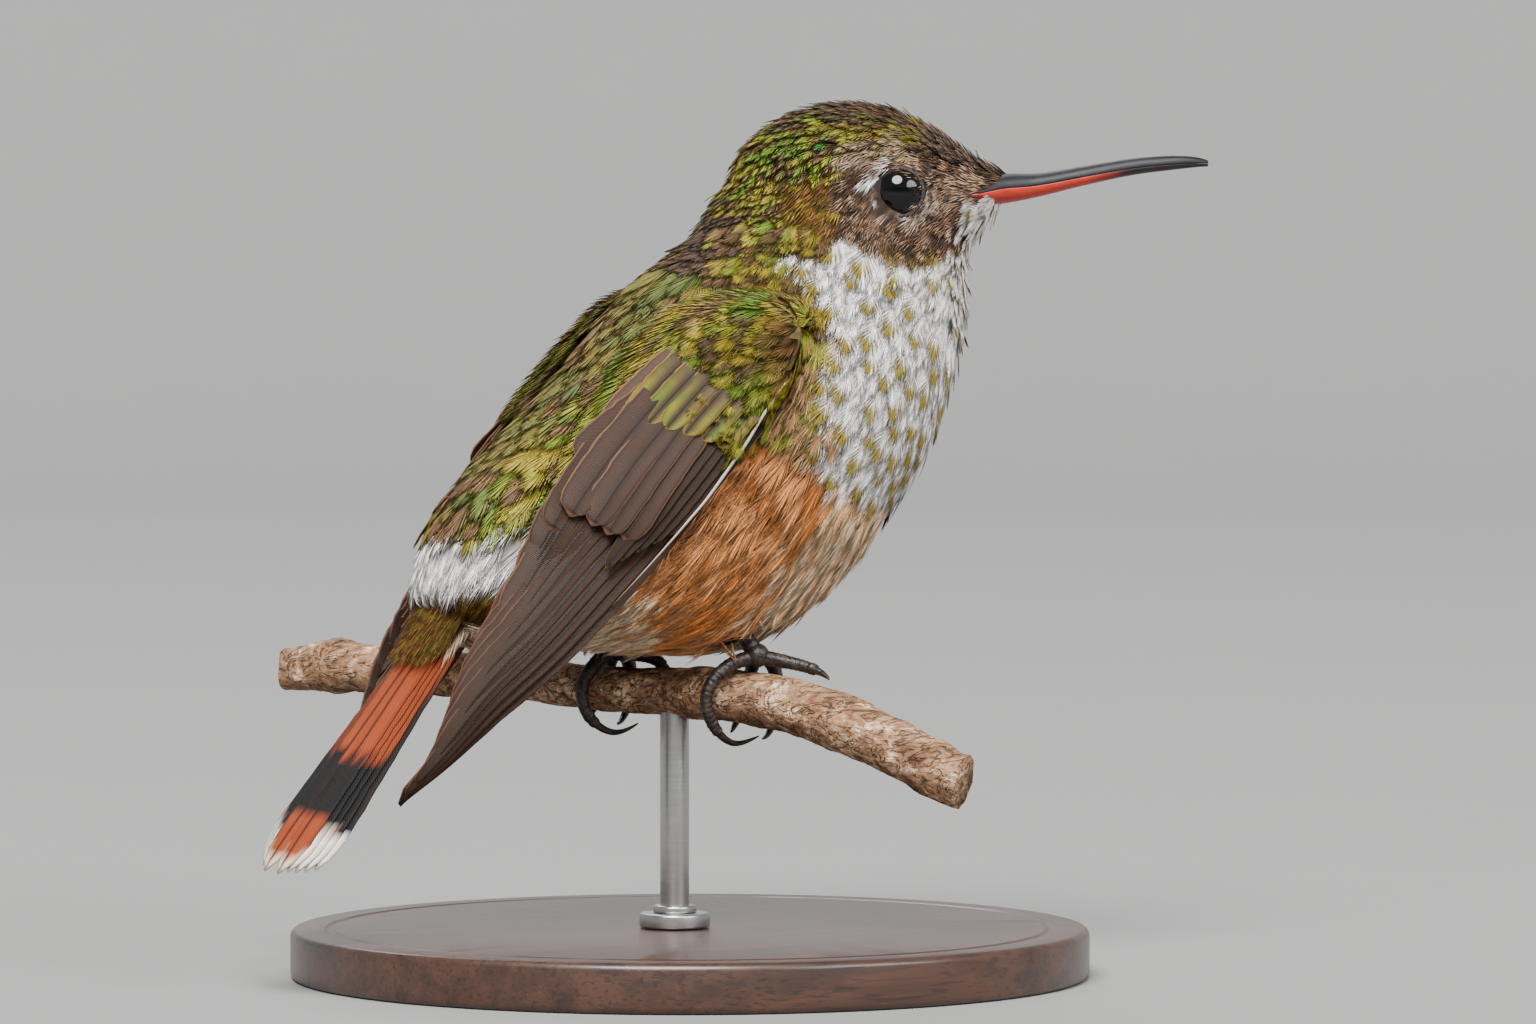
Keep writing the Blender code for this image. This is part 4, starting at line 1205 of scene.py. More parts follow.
def steel_material(settings):
    # Stainless rod brushed round its length: fine rings of scratches that stretch the highlights.
    made, add = new_material("brushed stainless steel")
    spot = add("TexCoord", out="Object")
    laid = add("Mapping", Vector=spot, Scale=(0.1, 0.1, 1))
    brushed = add("TexNoise", Vector=laid, Scale=7000.0, Detail=3.0)  # coarser than grit, to show
    shade = add("MapRange", brushed, 0.0, 1.0, 0.85, 1.1)
    lit = add("VectorMath", settings.steel, operation="SCALE", Scale=shade)
    rough = add("MapRange", brushed, 0.0, 1.0, 0.24, 0.42)
    bump = add("Bump", Strength=0.2, Distance=0.00003, Height=brushed)
    finish_material(add, 0.5, Base_Color=lit, Roughness=rough, Metallic=1.0, Normal=bump)
    return made


def paper_material(settings):
    # Matt seamless studio paper, with a faint unevenness.
    made, add = new_material("seamless studio paper")
    spot = add("TexCoord", out="Object")
    pulp = add("TexNoise", Vector=spot, Scale=60.0, Detail=2.0)
    shade = add("MapRange", pulp, 0.0, 1.0, 0.985, 1.015)
    lit = add("VectorMath", settings.paper, operation="SCALE", Scale=shade)
    finish_material(add, 0.1, Base_Color=lit, Roughness=0.95)
    return made


# ---- coat objects

FAMILIES = {
    "scale": [barbed(5, 2, 100 + k, 0.5, aspect=3.0) for k in range(6)],
    "contour": [barbed(12, 3, 200 + k, 0.6, crown_from=0.5) for k in range(6)],
    "silk": [barbed(7, 2, 500 + k, 1.0, crown_from=0.55) for k in range(6)],
    "plume": [barbed(8, 2, 300 + k, 1.5, crown_from=0.55, root_to=0.5, aspect=5.0) for k in range(6)],
    "hair": [hair_clump(4, 400 + k) for k in range(8)],
}
COAT_PIECES = {  # object: tracts, material
    "plumage_face": (("face", "ear"), "down"),
    "plumage_crown": (("forehead", "crown", "nape"), "gloss"),
    "plumage_throat": (("chin", "throat"), "down"),
    "plumage_breast": (("breast",), "down"),
    "plumage_back": (("back", "covert"), "gloss"),
    "plumage_rump": (("rump",), "down"),
    "plumage_side": (("side", "belly", "vent"), "down"),
    "plumage_flank": (("flank",), "down"),
    "plumage_wing": (("wing",), "gloss"),
}
GROWTH = (0.86, 1.14)  # least and greatest size of a feather beside its tract's
RISE = (0.8, 1.2)  # the same for its height
LIE_SPREAD = 0.13  # how far feathers turn from the flow, in radians
PROUD_SHARE, PROUD_RISE = 0.06, 1.5  # a few feathers stand up from the rest
SPOT_SPACING = 1.5
SPOT_RAISED, SPOT_WIDENED = 0.3, 1.65
STRAY = 1.0  # a feather whose end stands further than this off the skin is left out
SHOWN_AT = 0.7  # the share of its length where a feather comes out from under the ones above it
ARM_MIN = 0.55  # share of the arm at which wing coverts begin
EYE_REACH, EYE_BARE = 3.2, 1.6  # distance from the eye, and from its axis, that stays bare
MOUTH_FROM, MOUTH_BARE, FACE_END = 7.9, 0.3, 10.9  # forward places, and the bare half height along the bill
STEEP = 0.8  # no feather stands where the skin faces the flow more than this
SIDES = ((-1, "right"), (1, "left"))


def flow_of(points):
    """The lie of the coat: back along the body, and out along the arm over the folded wing."""
    _, tail, _, _ = body_field(points)
    share, along = arm_share(points)
    return unit(tail * (1 - share[:, None]) + along * share[:, None])


def arm_share(points):
    """How far each point belongs to the fleshy arm, and the arm's own direction there."""
    share = np.zeros(len(points))
    along = np.zeros((len(points), 3))
    for side, (places, outs) in workshop["wings"].items():
        skin_side = (places + outs * (ARM_DEPTH - COAT_DEPTH))[:ARM_ROWS]
        near = nearest_finder(skin_side.reshape(-1, 3))
        flat = unit(np.gradient(places, axis=0))[:ARM_ROWS].reshape(-1, 3)
        for k in np.nonzero(points[:, 1] * side > 2.0)[0]:
            _, i, far = near.find(points[k])
            share[k] = max(0.0, min(1.0, (ARM_NEAR - far) / ARM_FADE))
            along[k] = flat[i]
    return share, along


def face_places(item):
    """Face centres and areas in millimetres."""
    count = len(item.data.polygons)
    centres, areas = np.empty(count * 3), np.empty(count)
    item.data.polygons.foreach_get("center", centres)
    item.data.polygons.foreach_get("area", areas)
    return centres.reshape(-1, 3) / MM, areas / MM ** 2


def near_eye(points):
    """Distance of each point from the centre of the eye on its side, and from that eye's axis."""
    h, lateral, v = head_frame(points)
    away = np.stack([h - EYE_PLACE[0], lateral - EYE_PLACE[1], v - EYE_PLACE[2]], axis=1)
    return np.linalg.norm(away, axis=1), np.hypot(away[:, 0], away[:, 2])


def tracts_at(points):
    """The tract of each point, where the arm's share makes it a wing covert."""
    return tracts_of(points, arm_share(points)[0] > ARM_MIN)


def spacing_at(points):
    """How far apart feathers stand at each point, with 0 where the eyes and the bill leave it bare."""
    tracts = tracts_at(points)
    spacing = tract_table(0, 1)[tracts, 0]
    far, beside = near_eye(points)
    spacing[(far < EYE_REACH) & (beside < EYE_BARE + 0.02)] = 0.0
    h, _, v = head_frame(points)
    seam = np.interp(h, *np.array([key[:2] for key in BILL_BASE]).T)
    beside_bill = (h > MOUTH_FROM) & (np.abs(v - seam + 0.1) < MOUTH_BARE)
    spacing[beside_bill | (h > FACE_END)] = 0.0
    return spacing


def build_roots():
    """Where every feather of the coat is rooted, and the tract that it belongs to."""
    roots = spaced_roots(*face_places(workshop["skin"]), spacing_at, 7)
    roots, facings = settle(workshop["tree"], roots)
    far, beside = near_eye(roots)
    free = ~((far < EYE_REACH) & (beside < EYE_BARE))
    roots = roots[free & ((facings * flow_of(roots)).sum(axis=1) < STEEP)]
    tracts = tracts_at(roots)
    shown = shown_places(roots, tracts)
    on_arm = tracts == TRACT_NAMES.index("wing")
    return roots, np.where(on_arm, tracts, tracts_of(shown, on_arm))


def shown_places(roots, tracts):
    """Where each feather comes into sight."""
    return roots + flow_of(roots) * tract_table(1, 2)[tracts] * SHOWN_AT


def spots_among(points, allowed, spacing, seed):
    """Marks a scattering of the allowed points, none nearer to another than the spacing."""
    rng = np.random.default_rng(seed)
    marks = np.zeros(len(points))
    kept = []
    for i in rng.permutation(np.nonzero(allowed)[0]):
        if all(np.linalg.norm(points[i] - points[j]) > spacing for j in kept):
            kept.append(i)
    marks[kept] = 1.0
    return marks


def plant_piece(name):
    """One piece of the coat, from the roots of its tracts."""
    tract_names, kind = COAT_PIECES[name]
    roots, tracts = workshop["roots"]
    rows = np.nonzero(in_tracts(tracts, tract_names))[0]
    places, own = roots[rows], tracts[rows]
    seed = sum(map(ord, name))
    rng = np.random.default_rng(seed)
    table = tract_table(1, 7)[own]
    count = len(rows)
    grown = rng.uniform(*GROWTH, count)
    lengths = table[:, 0] * grown * workshop["plumage"].feather_size
    turns = rng.normal(0, LIE_SPREAD, count)
    heights = table[:, 2:4] * rng.uniform(*RISE, (count, 1))
    proud = rng.random(count) < PROUD_SHARE
    heights[proud, 1] *= PROUD_RISE
    looks = markings(shown_places(places, own), own, seed)
    spotted = in_tracts(own, ("throat", "breast", "chin"))
    if spotted.any():
        looks["spot"] = spots_among(places, spotted, SPOT_SPACING, seed)
        heights[looks["spot"] > 0, 1] += SPOT_RAISED
        grown[looks["spot"] > 0] *= SPOT_WIDENED
    spines, facings = lay_spines(workshop["tree"], places, flow_of, lengths, turns, heights)
    ends = spines[:, -1]
    near = np.linalg.norm(ends - settle(workshop["tree"], ends)[0], axis=1) - heights[:, 1] < STRAY
    sizes = np.stack([table[:, 1] * grown, table[:, 4], table[:, 5]], axis=1)
    for family in dict.fromkeys(TRACTS[n][7] for n in tract_names):
        members = near & in_tracts(own, [n for n in TRACT_NAMES if TRACTS[n][7] == family])
        if members.any():
            part = {key: value[members] for key, value in looks.items()}
            chosen_rows = (values[members] for values in (spines, facings, sizes))
            plant(f"{name}_{family}", family, *chosen_rows, part, kind, seed)


SCAPULAR_ROWS, SCAPULAR_COLUMNS = 13, 6
SCAPULAR_REACH = (-0.05, 0.215, -0.20, 0.13)  # along and across the wing
SCAPULAR_LOOSE = (0.012, 0.025)  # how far each may stand from its place in the rows
SCAPULAR_LENGTH = 0.088


def plant_scapulars(side, label):
    """The long back feathers that run over the upper edge of a folded wing."""
    rng = np.random.default_rng(61)
    first, last, inner, outer = SCAPULAR_REACH
    p, q = np.meshgrid(np.linspace(first, last, SCAPULAR_ROWS), np.linspace(inner, outer, SCAPULAR_COLUMNS))
    q = q - 0.25 * np.maximum(p - 0.1, 0)
    loose_p, loose_q = SCAPULAR_LOOSE
    p = (p + rng.uniform(-loose_p, loose_p, p.shape)).ravel()[:, None]
    q = (q + rng.uniform(-loose_q, loose_q, q.shape)).ravel()[:, None]
    t = np.linspace(0, 1, SPINE_STEPS + 1)[None]
    count = len(p)
    bed, normals = on_wing(workshop["wings"][side], p + SCAPULAR_LENGTH * t, q + 0.02 * t)
    heights = rng.uniform(0.75, 0.9, (count, 1)) + rng.uniform(0.35, 0.6, (count, 1)) * t
    spines = bed + normals * heights[..., None]
    beyond = ramp(q + 0.02 * t, 0.02, -0.08)[..., None]
    skin, facing = settle(workshop["tree"], bed.reshape(-1, 3))
    skin = (skin + facing * heights.reshape(-1, 1) * 0.55).reshape(bed.shape)
    spines = spines * (1 - beyond) + skin * beyond
    tracts = np.full(count, TRACT_NAMES.index("back"))
    looks = markings(spines[:, -1], tracts, 67)
    _, _, half, _, _, crown, thick, family = TRACTS["back"]
    sizes = np.tile((half, crown, thick), (count, 1)) * rng.uniform(0.85, 1.1, (count, 1))
    plant("plumage_scapular_" + label, family, spines, normals, sizes, looks, "gloss", 71)


# ---- flight feathers

VANE_ROWS, VANE_COLUMNS = 26, 10
SHAFT_RIDGE = 0.07
EDGE_FRAY = 0.05


def long_feather(centre, normals, inner, outer, thick, camber, tip_from, tip_power, seed):
    """A long vane on a centre line: inner and outer half widths, and a tip that narrows from a share."""
    rng = np.random.default_rng(seed)
    rows = len(centre)
    t = np.linspace(0, 1, rows)
    ahead = unit(np.gradient(centre, axis=0))
    across = unit(np.cross(ahead, normals))
    narrow = np.clip((t - tip_from) / (1 - tip_from), 0, 1)
    width = np.minimum(1.0, 0.45 + 3.0 * t) * np.maximum(1 - narrow ** tip_power, 0) ** (1 / tip_power)
    width = np.maximum(width, 0.03)
    x = np.linspace(-1, 1, VANE_COLUMNS + 1)
    fray = 1 + EDGE_FRAY * rng.uniform(-1, 1, (rows, 2))
    offset = np.where(x < 0, x * inner, x * outer)[None] * width[:, None]
    offset[:, 0] *= fray[:, 0]
    offset[:, -1] *= fray[:, 1]
    ridge = SHAFT_RIDGE * np.exp(-(x / 0.12) ** 2)[None] * (1 - 0.7 * t[:, None])
    rise = camber * (1 - x ** 2)[None] * width[:, None] + ridge
    top = centre[:, None] + across[:, None] * offset[..., None] + normals[:, None] * rise[..., None]
    under = top - normals[:, None] * thick
    uv = np.stack(np.broadcast_arrays((x * 0.5 + 0.5)[None], t[:, None]), axis=-1).reshape(-1, 2)
    points = np.concatenate([top.reshape(-1, 3), under.reshape(-1, 3)])
    return points, np.array(slab_faces(rows, VANE_COLUMNS + 1)), np.concatenate([uv, uv])


# Root and tip are shares along and across the wing, lift is the height over its bed.
WingFeather = namedtuple(
    "WingFeather", "kind root tip inner outer lift tip_from power bow rise", defaults=(1.15, (0.0, 0.4))
)


def wing_feather_list():
    feathers = []
    for i in range(10):
        share = i / 9
        tip = (0.66 + 0.35 * share ** 0.85, 0.05 + 0.53 * share ** 2.2)
        feathers.append(WingFeather(
            "primary", (0.24, 0.34 + 0.62 * share), tip, 1.25 - 0.35 * share, 0.50 - 0.1 * share,
            0.78 - 0.07 * i, 0.80, 1.7, 1.15 + 1.6 * share ** 2,
        ))
    for i, tip in enumerate(((0.62, 0.10), (0.555, 0.10), (0.50, 0.10), (0.46, 0.13))):
        root = (0.17, 0.34 - 0.06 * i)
        feathers.append(WingFeather("secondary", root, tip, 1.25, 0.95, 0.86 + 0.09 * i, 0.86, 2.1))
    for i in range(5):
        root, tip = (0.14, 0.98 - 0.07 * i), (0.36 + 0.022 * i, 0.93 - 0.06 * i)
        feathers.append(WingFeather("primary covert", root, tip, 0.62, 0.42, 0.78 + 0.08 * i, 0.82, 2.0))
    for i, tip in enumerate(((0.405, 0.67), (0.415, 0.53), (0.42, 0.39), (0.365, 0.04), (0.43, 0.21))):
        root = (0.14, 0.60 - 0.08 * i)
        feathers.append(WingFeather("tertial", root, tip, 1.15 + 0.07 * i, 0.95, 1.14 + 0.09 * i, 0.86, 2.2))
    feathers.append(WingFeather(
        "pale tertial", (0.12, 0.20), (0.315, 0.06), 1.1, 1.05, 1.66, 0.80, 2.2, rise=(0.15, 0.5)
    ))
    for i in range(6):
        share = i / 5
        root, tip = (0.10, 0.24 + 0.62 * share), (0.29 - 0.05 * share, 0.17 + 0.66 * share)
        feathers.append(WingFeather(
            "covert", root, tip, 1.0, 0.85, 1.66 - 0.07 * i, 0.80, 2.2, rise=(0.22, 0.6)
        ))
    return feathers


WING_COLOURS = {  # vane, fringe, shaft side
    "primary": ("#332115", "#523526", "#1c120b"),
    "secondary": ("#36261c", "#5f422f", "#201510"),
    "tertial": ("#3a2a22", "#674834", "#1f1611"),
    "primary covert": ("#291c14", "#524013", "#1a110c"),
    "pale tertial": ("#4c3a31", "#7a5638", "#281d17"),
    "covert": ("#43372a", "#7d6128", "#241b12"),
}


def wing_vanes(side):
    """The flight feathers and large coverts of one folded wing: points, faces, UVs, colours and edges."""
    surface = workshop["wings"][side]
    made = []
    for number, spec in enumerate(wing_feather_list()):
        t = np.linspace(0, 1, VANE_ROWS)
        p = spec.root[0] + (spec.tip[0] - spec.root[0]) * t
        q = spec.root[1] + (spec.tip[1] - spec.root[1]) * t ** spec.bow
        if side > 0:
            q = 0.14 + 0.86 * q
        bed, normals = on_wing(surface, p, q)
        lift = spec.lift * (1.1 * ramp(t, *spec.rise) - 0.1 - 0.15 * t)
        centre = bed + normals * lift[:, None]
        # The inner vane faces the trailing edge, which is the other way round on the left wing.
        widths = (spec.inner, spec.outer) if side > 0 else (spec.outer, spec.inner)
        points, faces, uv = long_feather(
            centre, normals, *widths, 0.05, 0.05, spec.tip_from, spec.power, 50 + number
        )
        vane_shade, fringe, dark = (colour(c) for c in WING_COLOURS[spec.kind])
        across, along = np.abs(uv[:, 0] * 2 - 1), uv[:, 1]
        shade = blend(np.tile(vane_shade, (len(uv), 1)), dark, ramp(across, 0.5, 0.0) * 0.5)
        if spec.kind == "covert":
            gloss = gloss_at(np.clip(0.35 + 0.5 * cell_noise(points, 0.9, 21 + number), 0, 1))
            shade = blend(shade, gloss * 0.55, ramp(along, 0.45, 0.85) * ramp(across, 0.1, 0.6) * 0.6)
        made.append((points, faces, uv, shade, np.tile(fringe, (len(uv), 1))))
    return made


# The place across the wing and the height of its pale front edge, at shares along the wing.
FRONT_PLACE = ((0.1, 0.2, 0.3, 0.47), (0.93, 0.98, 0.985, 0.93))
FRONT_LIFT = ((0.1, 0.24, 0.35, 0.47), (1.15, 1.15, 0.75, 0.45))


def leading_edge(side):
    """The pale edge of the outermost feathers, along the front of the folded wing."""
    p = np.linspace(0.10, 0.47, VANE_ROWS)
    bed, normals = on_wing(workshop["wings"][side], p, np.interp(p, *FRONT_PLACE))
    centre = bed + normals * np.interp(p, *FRONT_LIFT)[:, None]
    points, faces, uv = long_feather(centre, normals, 0.07, 0.11, 0.12, 0.1, 0.35, 1.3, 90)
    shade = blend(np.tile(colour("#e6dac8"), (len(uv), 1)), colour("#a98c6c"), ramp(uv[:, 1], 0.55, 1.0))
    return points, faces, uv, shade, shade


TAIL_ROLL = 6.0
TAIL_SHORTENING = 0.9  # how much shorter the outer feathers are


def tail_frame():
    """Root, length, and the directions along, up from and across the tail."""
    root = np.array((TAIL_ROOT[0], 0, TAIL_ROOT[1]))
    tip = np.array((TAIL_TIP[0], 0, TAIL_TIP[1]))
    ahead = unit(tip - root)
    roll = np.array(Matrix.Rotation(math.radians(-TAIL_ROLL), 3, Vector(ahead)))
    back, side = roll @ np.array((ahead[2], 0, -ahead[0])), roll @ np.array((0, 1.0, 0))
    return root, np.linalg.norm(tip - root), ahead, back, side


def tail_vanes():
    """The ten tail feathers, from the outer right one to the outer left one."""
    root, length, ahead, back, side = tail_frame()
    made = []
    for number in range(10):
        place = number - 4.5
        rank, sign = abs(place) - 0.5, np.sign(place)
        t = np.linspace(0, 1, VANE_ROWS)
        reach = length - TAIL_SHORTENING * (rank / 4) ** 2 + (0.3 if rank == 0 else 0.0)
        lateral = sign * ((0.35 + 0.24 * rank) * (1 - t) + (0.85 + 0.58 * rank) * t)
        height = 0.40 - 0.13 * rank + 0.06 * (place < 0) - 0.06 * rank * t
        centre = root + ahead * (reach * t - 1.2 * (1 - t))[:, None]
        centre = centre + side * lateral[:, None] + back * height[:, None]
        normals = np.tile(back, (len(t), 1))
        wide, narrow = 1.38, 1.12
        widths = (narrow, wide) if place > 0 else (wide, narrow)
        points, faces, uv = long_feather(centre, normals, *widths, 0.08, 0.12, 0.86, 1.6, 70 + number)
        shade = tail_colours(uv, rank, points, place)
        # Painted shade: each feather's edge colour is its own colour at 0.55, a dark shade line along its
        # edge and tip.
        made.append((points, faces, uv, shade, shade * 0.55))
    return made


def plant_tail_coverts():
    """Short feathers that cover the root of the tail, olive and rufous above and cream below."""
    rng = np.random.default_rng(83)
    root, _, ahead, back, side = tail_frame()
    t = np.linspace(0, 1, SPINE_STEPS + 1)[None, :, None]
    for label, sign, height in (("upper", 1, 1.35), ("under", -1, -0.55)):
        row, column = (grid.ravel() for grid in np.meshgrid(np.arange(6), np.linspace(-1, 1, 9)))
        along = -3.2 + 0.8 * row + rng.uniform(-0.25, 0.25, len(row)) - 0.8 * column ** 2
        across = column * 2.2 + rng.uniform(-0.15, 0.15, len(row))
        lift = (height - 0.1 * sign * row - 0.35 * column ** 2 * sign)[:, None, None]
        spines = root + ahead * (along[:, None, None] + 3.4 * t)
        spines = spines + side * (across[:, None, None] * (1 + 0.1 * t)) + back * (lift + sign * 0.25 * t)
        facings = np.tile(back * sign, (*spines.shape[:2], 1))
        tract = TRACT_NAMES.index("covert" if sign > 0 else "vent")
        looks = markings(spines[:, -1], np.full(len(row), tract), 85)
        sizes = np.tile((0.85, 0.06, 0.06), (len(row), 1)) * rng.uniform(0.85, 1.1, (len(row), 1))
        plant("plumage_tail_" + label, "plume", spines, facings, sizes, looks, "down", 87)


def tail_colours(uv, rank, points, place):
    """Rufous with a black band; the outer feathers end white, the middle ones rufous with a pale point."""
    across, along = np.abs(uv[:, 0] * 2 - 1), uv[:, 1]
    wander = (cell_noise(points, 0.5, 31) - 0.5) * 0.05
    shade = np.tile(chosen("rufous"), (len(uv), 1))
    shade = blend(shade, colour("#964922"), cell_noise(points, 1.5, 33) * 0.4)
    band_end = 0.77 if rank == 0 else 0.84
    band = ramp(along + wander, 0.55, 0.575) * ramp(along + wander, band_end + 0.02, band_end)
    shade = blend(shade, chosen("tail_band"), band)
    if rank >= 1:
        shade = blend(shade, colour("#ece3d8"), ramp(along + wander, band_end, band_end + 0.03))
    else:
        shade = blend(shade, colour("#e3cdb2"), ramp(along + 0.06 * across, 0.955, 0.99))
    if place < -3.9:
        outer = ramp(across, 0.3, 0.6) * ramp(along, 0.1, 0.4) * (along < band_end)
        shade = blend(shade, colour("#1c1412"), outer)
    return blend(shade, colour("#2e130a"), ramp(across, 0.10, 0.02) * 0.8)


# ---- twig, feet, bill, eyes and stand


def in_view(along, away, up):
    """A point from the twig's own axes: along it, away from the viewer, and up."""
    turned = HEAD_TURN @ np.array((along, away, 0.0))
    return np.array((turned[0], turned[1], up))


def twig_at(along):
    """The twig's centre and radius at a place along it."""
    last = len(TWIG_STATIONS) - 2
    i = next(i for i in range(last + 1) if along <= TWIG_STATIONS[i + 1][0] or i == last)
    start, end = TWIG_STATIONS[i][0], TWIG_STATIONS[i + 1][0]
    _, up, radius = smooth_value(TWIG_STATIONS, (i + (along - start) / (end - start)) / (last + 1))
    return in_view(along, -TWIG_RECEDE * (along - TWIG_PIVOT) - TWIG_FORWARD, up), radius


def on_twig(along, angle, height):
    """A point over the bark; angle 0 is the top, positive towards the viewer."""
    centre, radius = twig_at(along)
    ahead = unit(twig_at(along + 0.3)[0] - twig_at(along - 0.3)[0])
    near = unit(np.cross(ahead, (0, 0, 1)))
    up = np.cross(near, ahead)
    turn = math.radians(angle)
    return centre + (up * math.cos(turn) + near * math.sin(turn)) * (radius + height)


def tube(name, path, radii, sides, material):
    """A closed tube along a path, from a bevelled curve turned to mesh."""
    curve = bpy.data.curves.new(name, "CURVE")
    curve.dimensions = "3D"
    curve.bevel_depth = MM
    curve.bevel_resolution = sides // 2 - 2
    curve.use_fill_caps = True
    spline = curve.splines.new("POLY")
    spline.points.add(len(path) - 1)
    for knot, place, radius in zip(spline.points, path, radii):
        knot.co = (*(np.asarray(place) * MM), 1.0)
        knot.radius = max(radius, 0.01)
    item = bpy.data.objects.new(name, curve)
    bpy.context.scene.collection.objects.link(item)
    select_only(item)
    bpy.ops.object.convert(target="MESH")
    item = bpy.context.object
    clean(item)
    dress(item, material)
    return item


PAD_RADIUS = 0.8
TOE_RADIUS = 0.5
CLAW_RADIUS, CLAW_POINT = 0.30, 0.03
TOE_SHARE = 0.62  # the rest of a toe's line is its claw
TOE_START = 0.15
TOE_STEPS = 60
TOE_LIFT = TOE_RADIUS + GAP
SCUTE = 0.34  # length of one plate of a toe
FEET = {
    "right": {
        "pad": (4.2, 8.0),
        "hip": (1.2, -3.6, 23.4),
        "toes": (
            ((-1.3, 40.0, 0.1), (-2.2, 85.0, 0.1), (-1.9, 130.0, 0.2), (-0.9, 172.0, 0.5), (0.3, 198.0, 0.0)),
            ((1.3, 0.0, 0.1), (2.6, -4.0, 0.05), (3.6, 4.0, 0.0), (4.3, 14.0, -0.1)),
            ((0.4, -45.0, 0.1), (0.6, -95.0, 0.1), (0.7, -140.0, 0.1), (0.7, -172.0, 0.0)),
            ((-0.9, -42.0, 0.1), (-1.5, -90.0, 0.1), (-1.7, -135.0, 0.1), (-1.6, -165.0, 0.0)),
        ),
    },
    "left": {
        "pad": (-4.9, 0.0),
        "hip": (-4.6, 3.4, 23.6),
        "toes": (
            ((-0.7, 40.0, 0.1), (-1.3, 88.0, 0.1), (-0.9, 132.0, 0.3), (0.2, 172.0, 0.5), (1.3, 200.0, 0.0)),
            ((0.9, -18.0, 0.1), (1.9, -34.0, 0.1), (2.7, -60.0, 0.1), (3.0, -88.0, 0.0)),
            ((0.2, -48.0, 0.1), (0.2, -95.0, 0.1), (0.1, -140.0, 0.1), (0.1, -172.0, 0.0)),
            ((-0.9, -40.0, 0.1), (-1.6, -88.0, 0.1), (-1.9, -132.0, 0.1), (-1.9, -162.0, 0.0)),
        ),
    },
}


def plated(path, radius_at, plate, depth=0.10):
    """Finer points and saw-toothed radii that give a tube its overlapping plates."""
    path = np.array(path)
    steps = np.linalg.norm(np.diff(path, axis=0), axis=1)
    places = np.concatenate([[0], np.cumsum(steps)])
    length = places[-1]
    fine = np.arange(0, length, plate / 5)
    points = np.stack([np.interp(fine, places, path[:, k]) for k in range(3)], axis=1)
    saw = (fine / plate) % 1.0
    return points, radius_at(fine / length) * (1 - depth * saw + depth * 0.5)


def toe_line(pad, toe):
    """A toe's middle line round the twig, from the pad to the tip of the claw."""
    along, angle = pad
    ahead, turn, lift = toe[0]
    start = (along + ahead * TOE_START, angle + (turn - angle) * TOE_START)
    knots = [(*start, TOE_LIFT + lift + 0.1)] + [(along + a, b, TOE_LIFT + c) for a, b, c in toe]
    return np.array([on_twig(*smooth_value(knots, i / TOE_STEPS)) for i in range(TOE_STEPS + 1)])


def build_foot(side, scale_material, claw_material):
    """One leg with its scaled toes round the twig, and its claws as a piece of their own."""
    foot = FEET[side]
    ankle = on_twig(*foot["pad"], PAD_RADIUS + GAP)
    hip = np.array(foot["hip"])
    shank, radii = plated(
        [hip, hip * 0.55 + ankle * 0.45, ankle], lambda s: np.interp(s, (0, 0.45, 1), (0.8, 0.52, 0.62)), 0.5
    )
    parts = [tube("shank", shank, radii, 14, scale_material)]
    claws = []
    for toe in foot["toes"]:
        line = toe_line(foot["pad"], toe)
        cut = int(TOE_SHARE * TOE_STEPS)
        path, radii = plated(line[:cut + 4], lambda s: TOE_RADIUS * (0.98 - 0.26 * s), SCUTE)
        parts.append(tube("toe", path, radii, 12, scale_material))
        for k in (0.45, 0.98):
            parts.append(ball(TOE_RADIUS * (1.06 - 0.24 * k), line[int(k * cut)], 12, 8, scale_material))
        nail = line[cut - 2:]
        share = np.linspace(0, 1, len(nail))
        radii = CLAW_RADIUS * (1 - share) ** 0.8 + CLAW_POINT
        claws.append(tube("claw", nail, radii, 12, claw_material))
    parts.append(ball(PAD_RADIUS, ankle, 16, 12, scale_material))
    toes = joined("foot_" + side, parts)
    present(toes)
    present(joined("claws_" + side, claws))
    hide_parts("leg_" + side)


BILL_STEPS = 40
MOUTH_GAP = 0.04


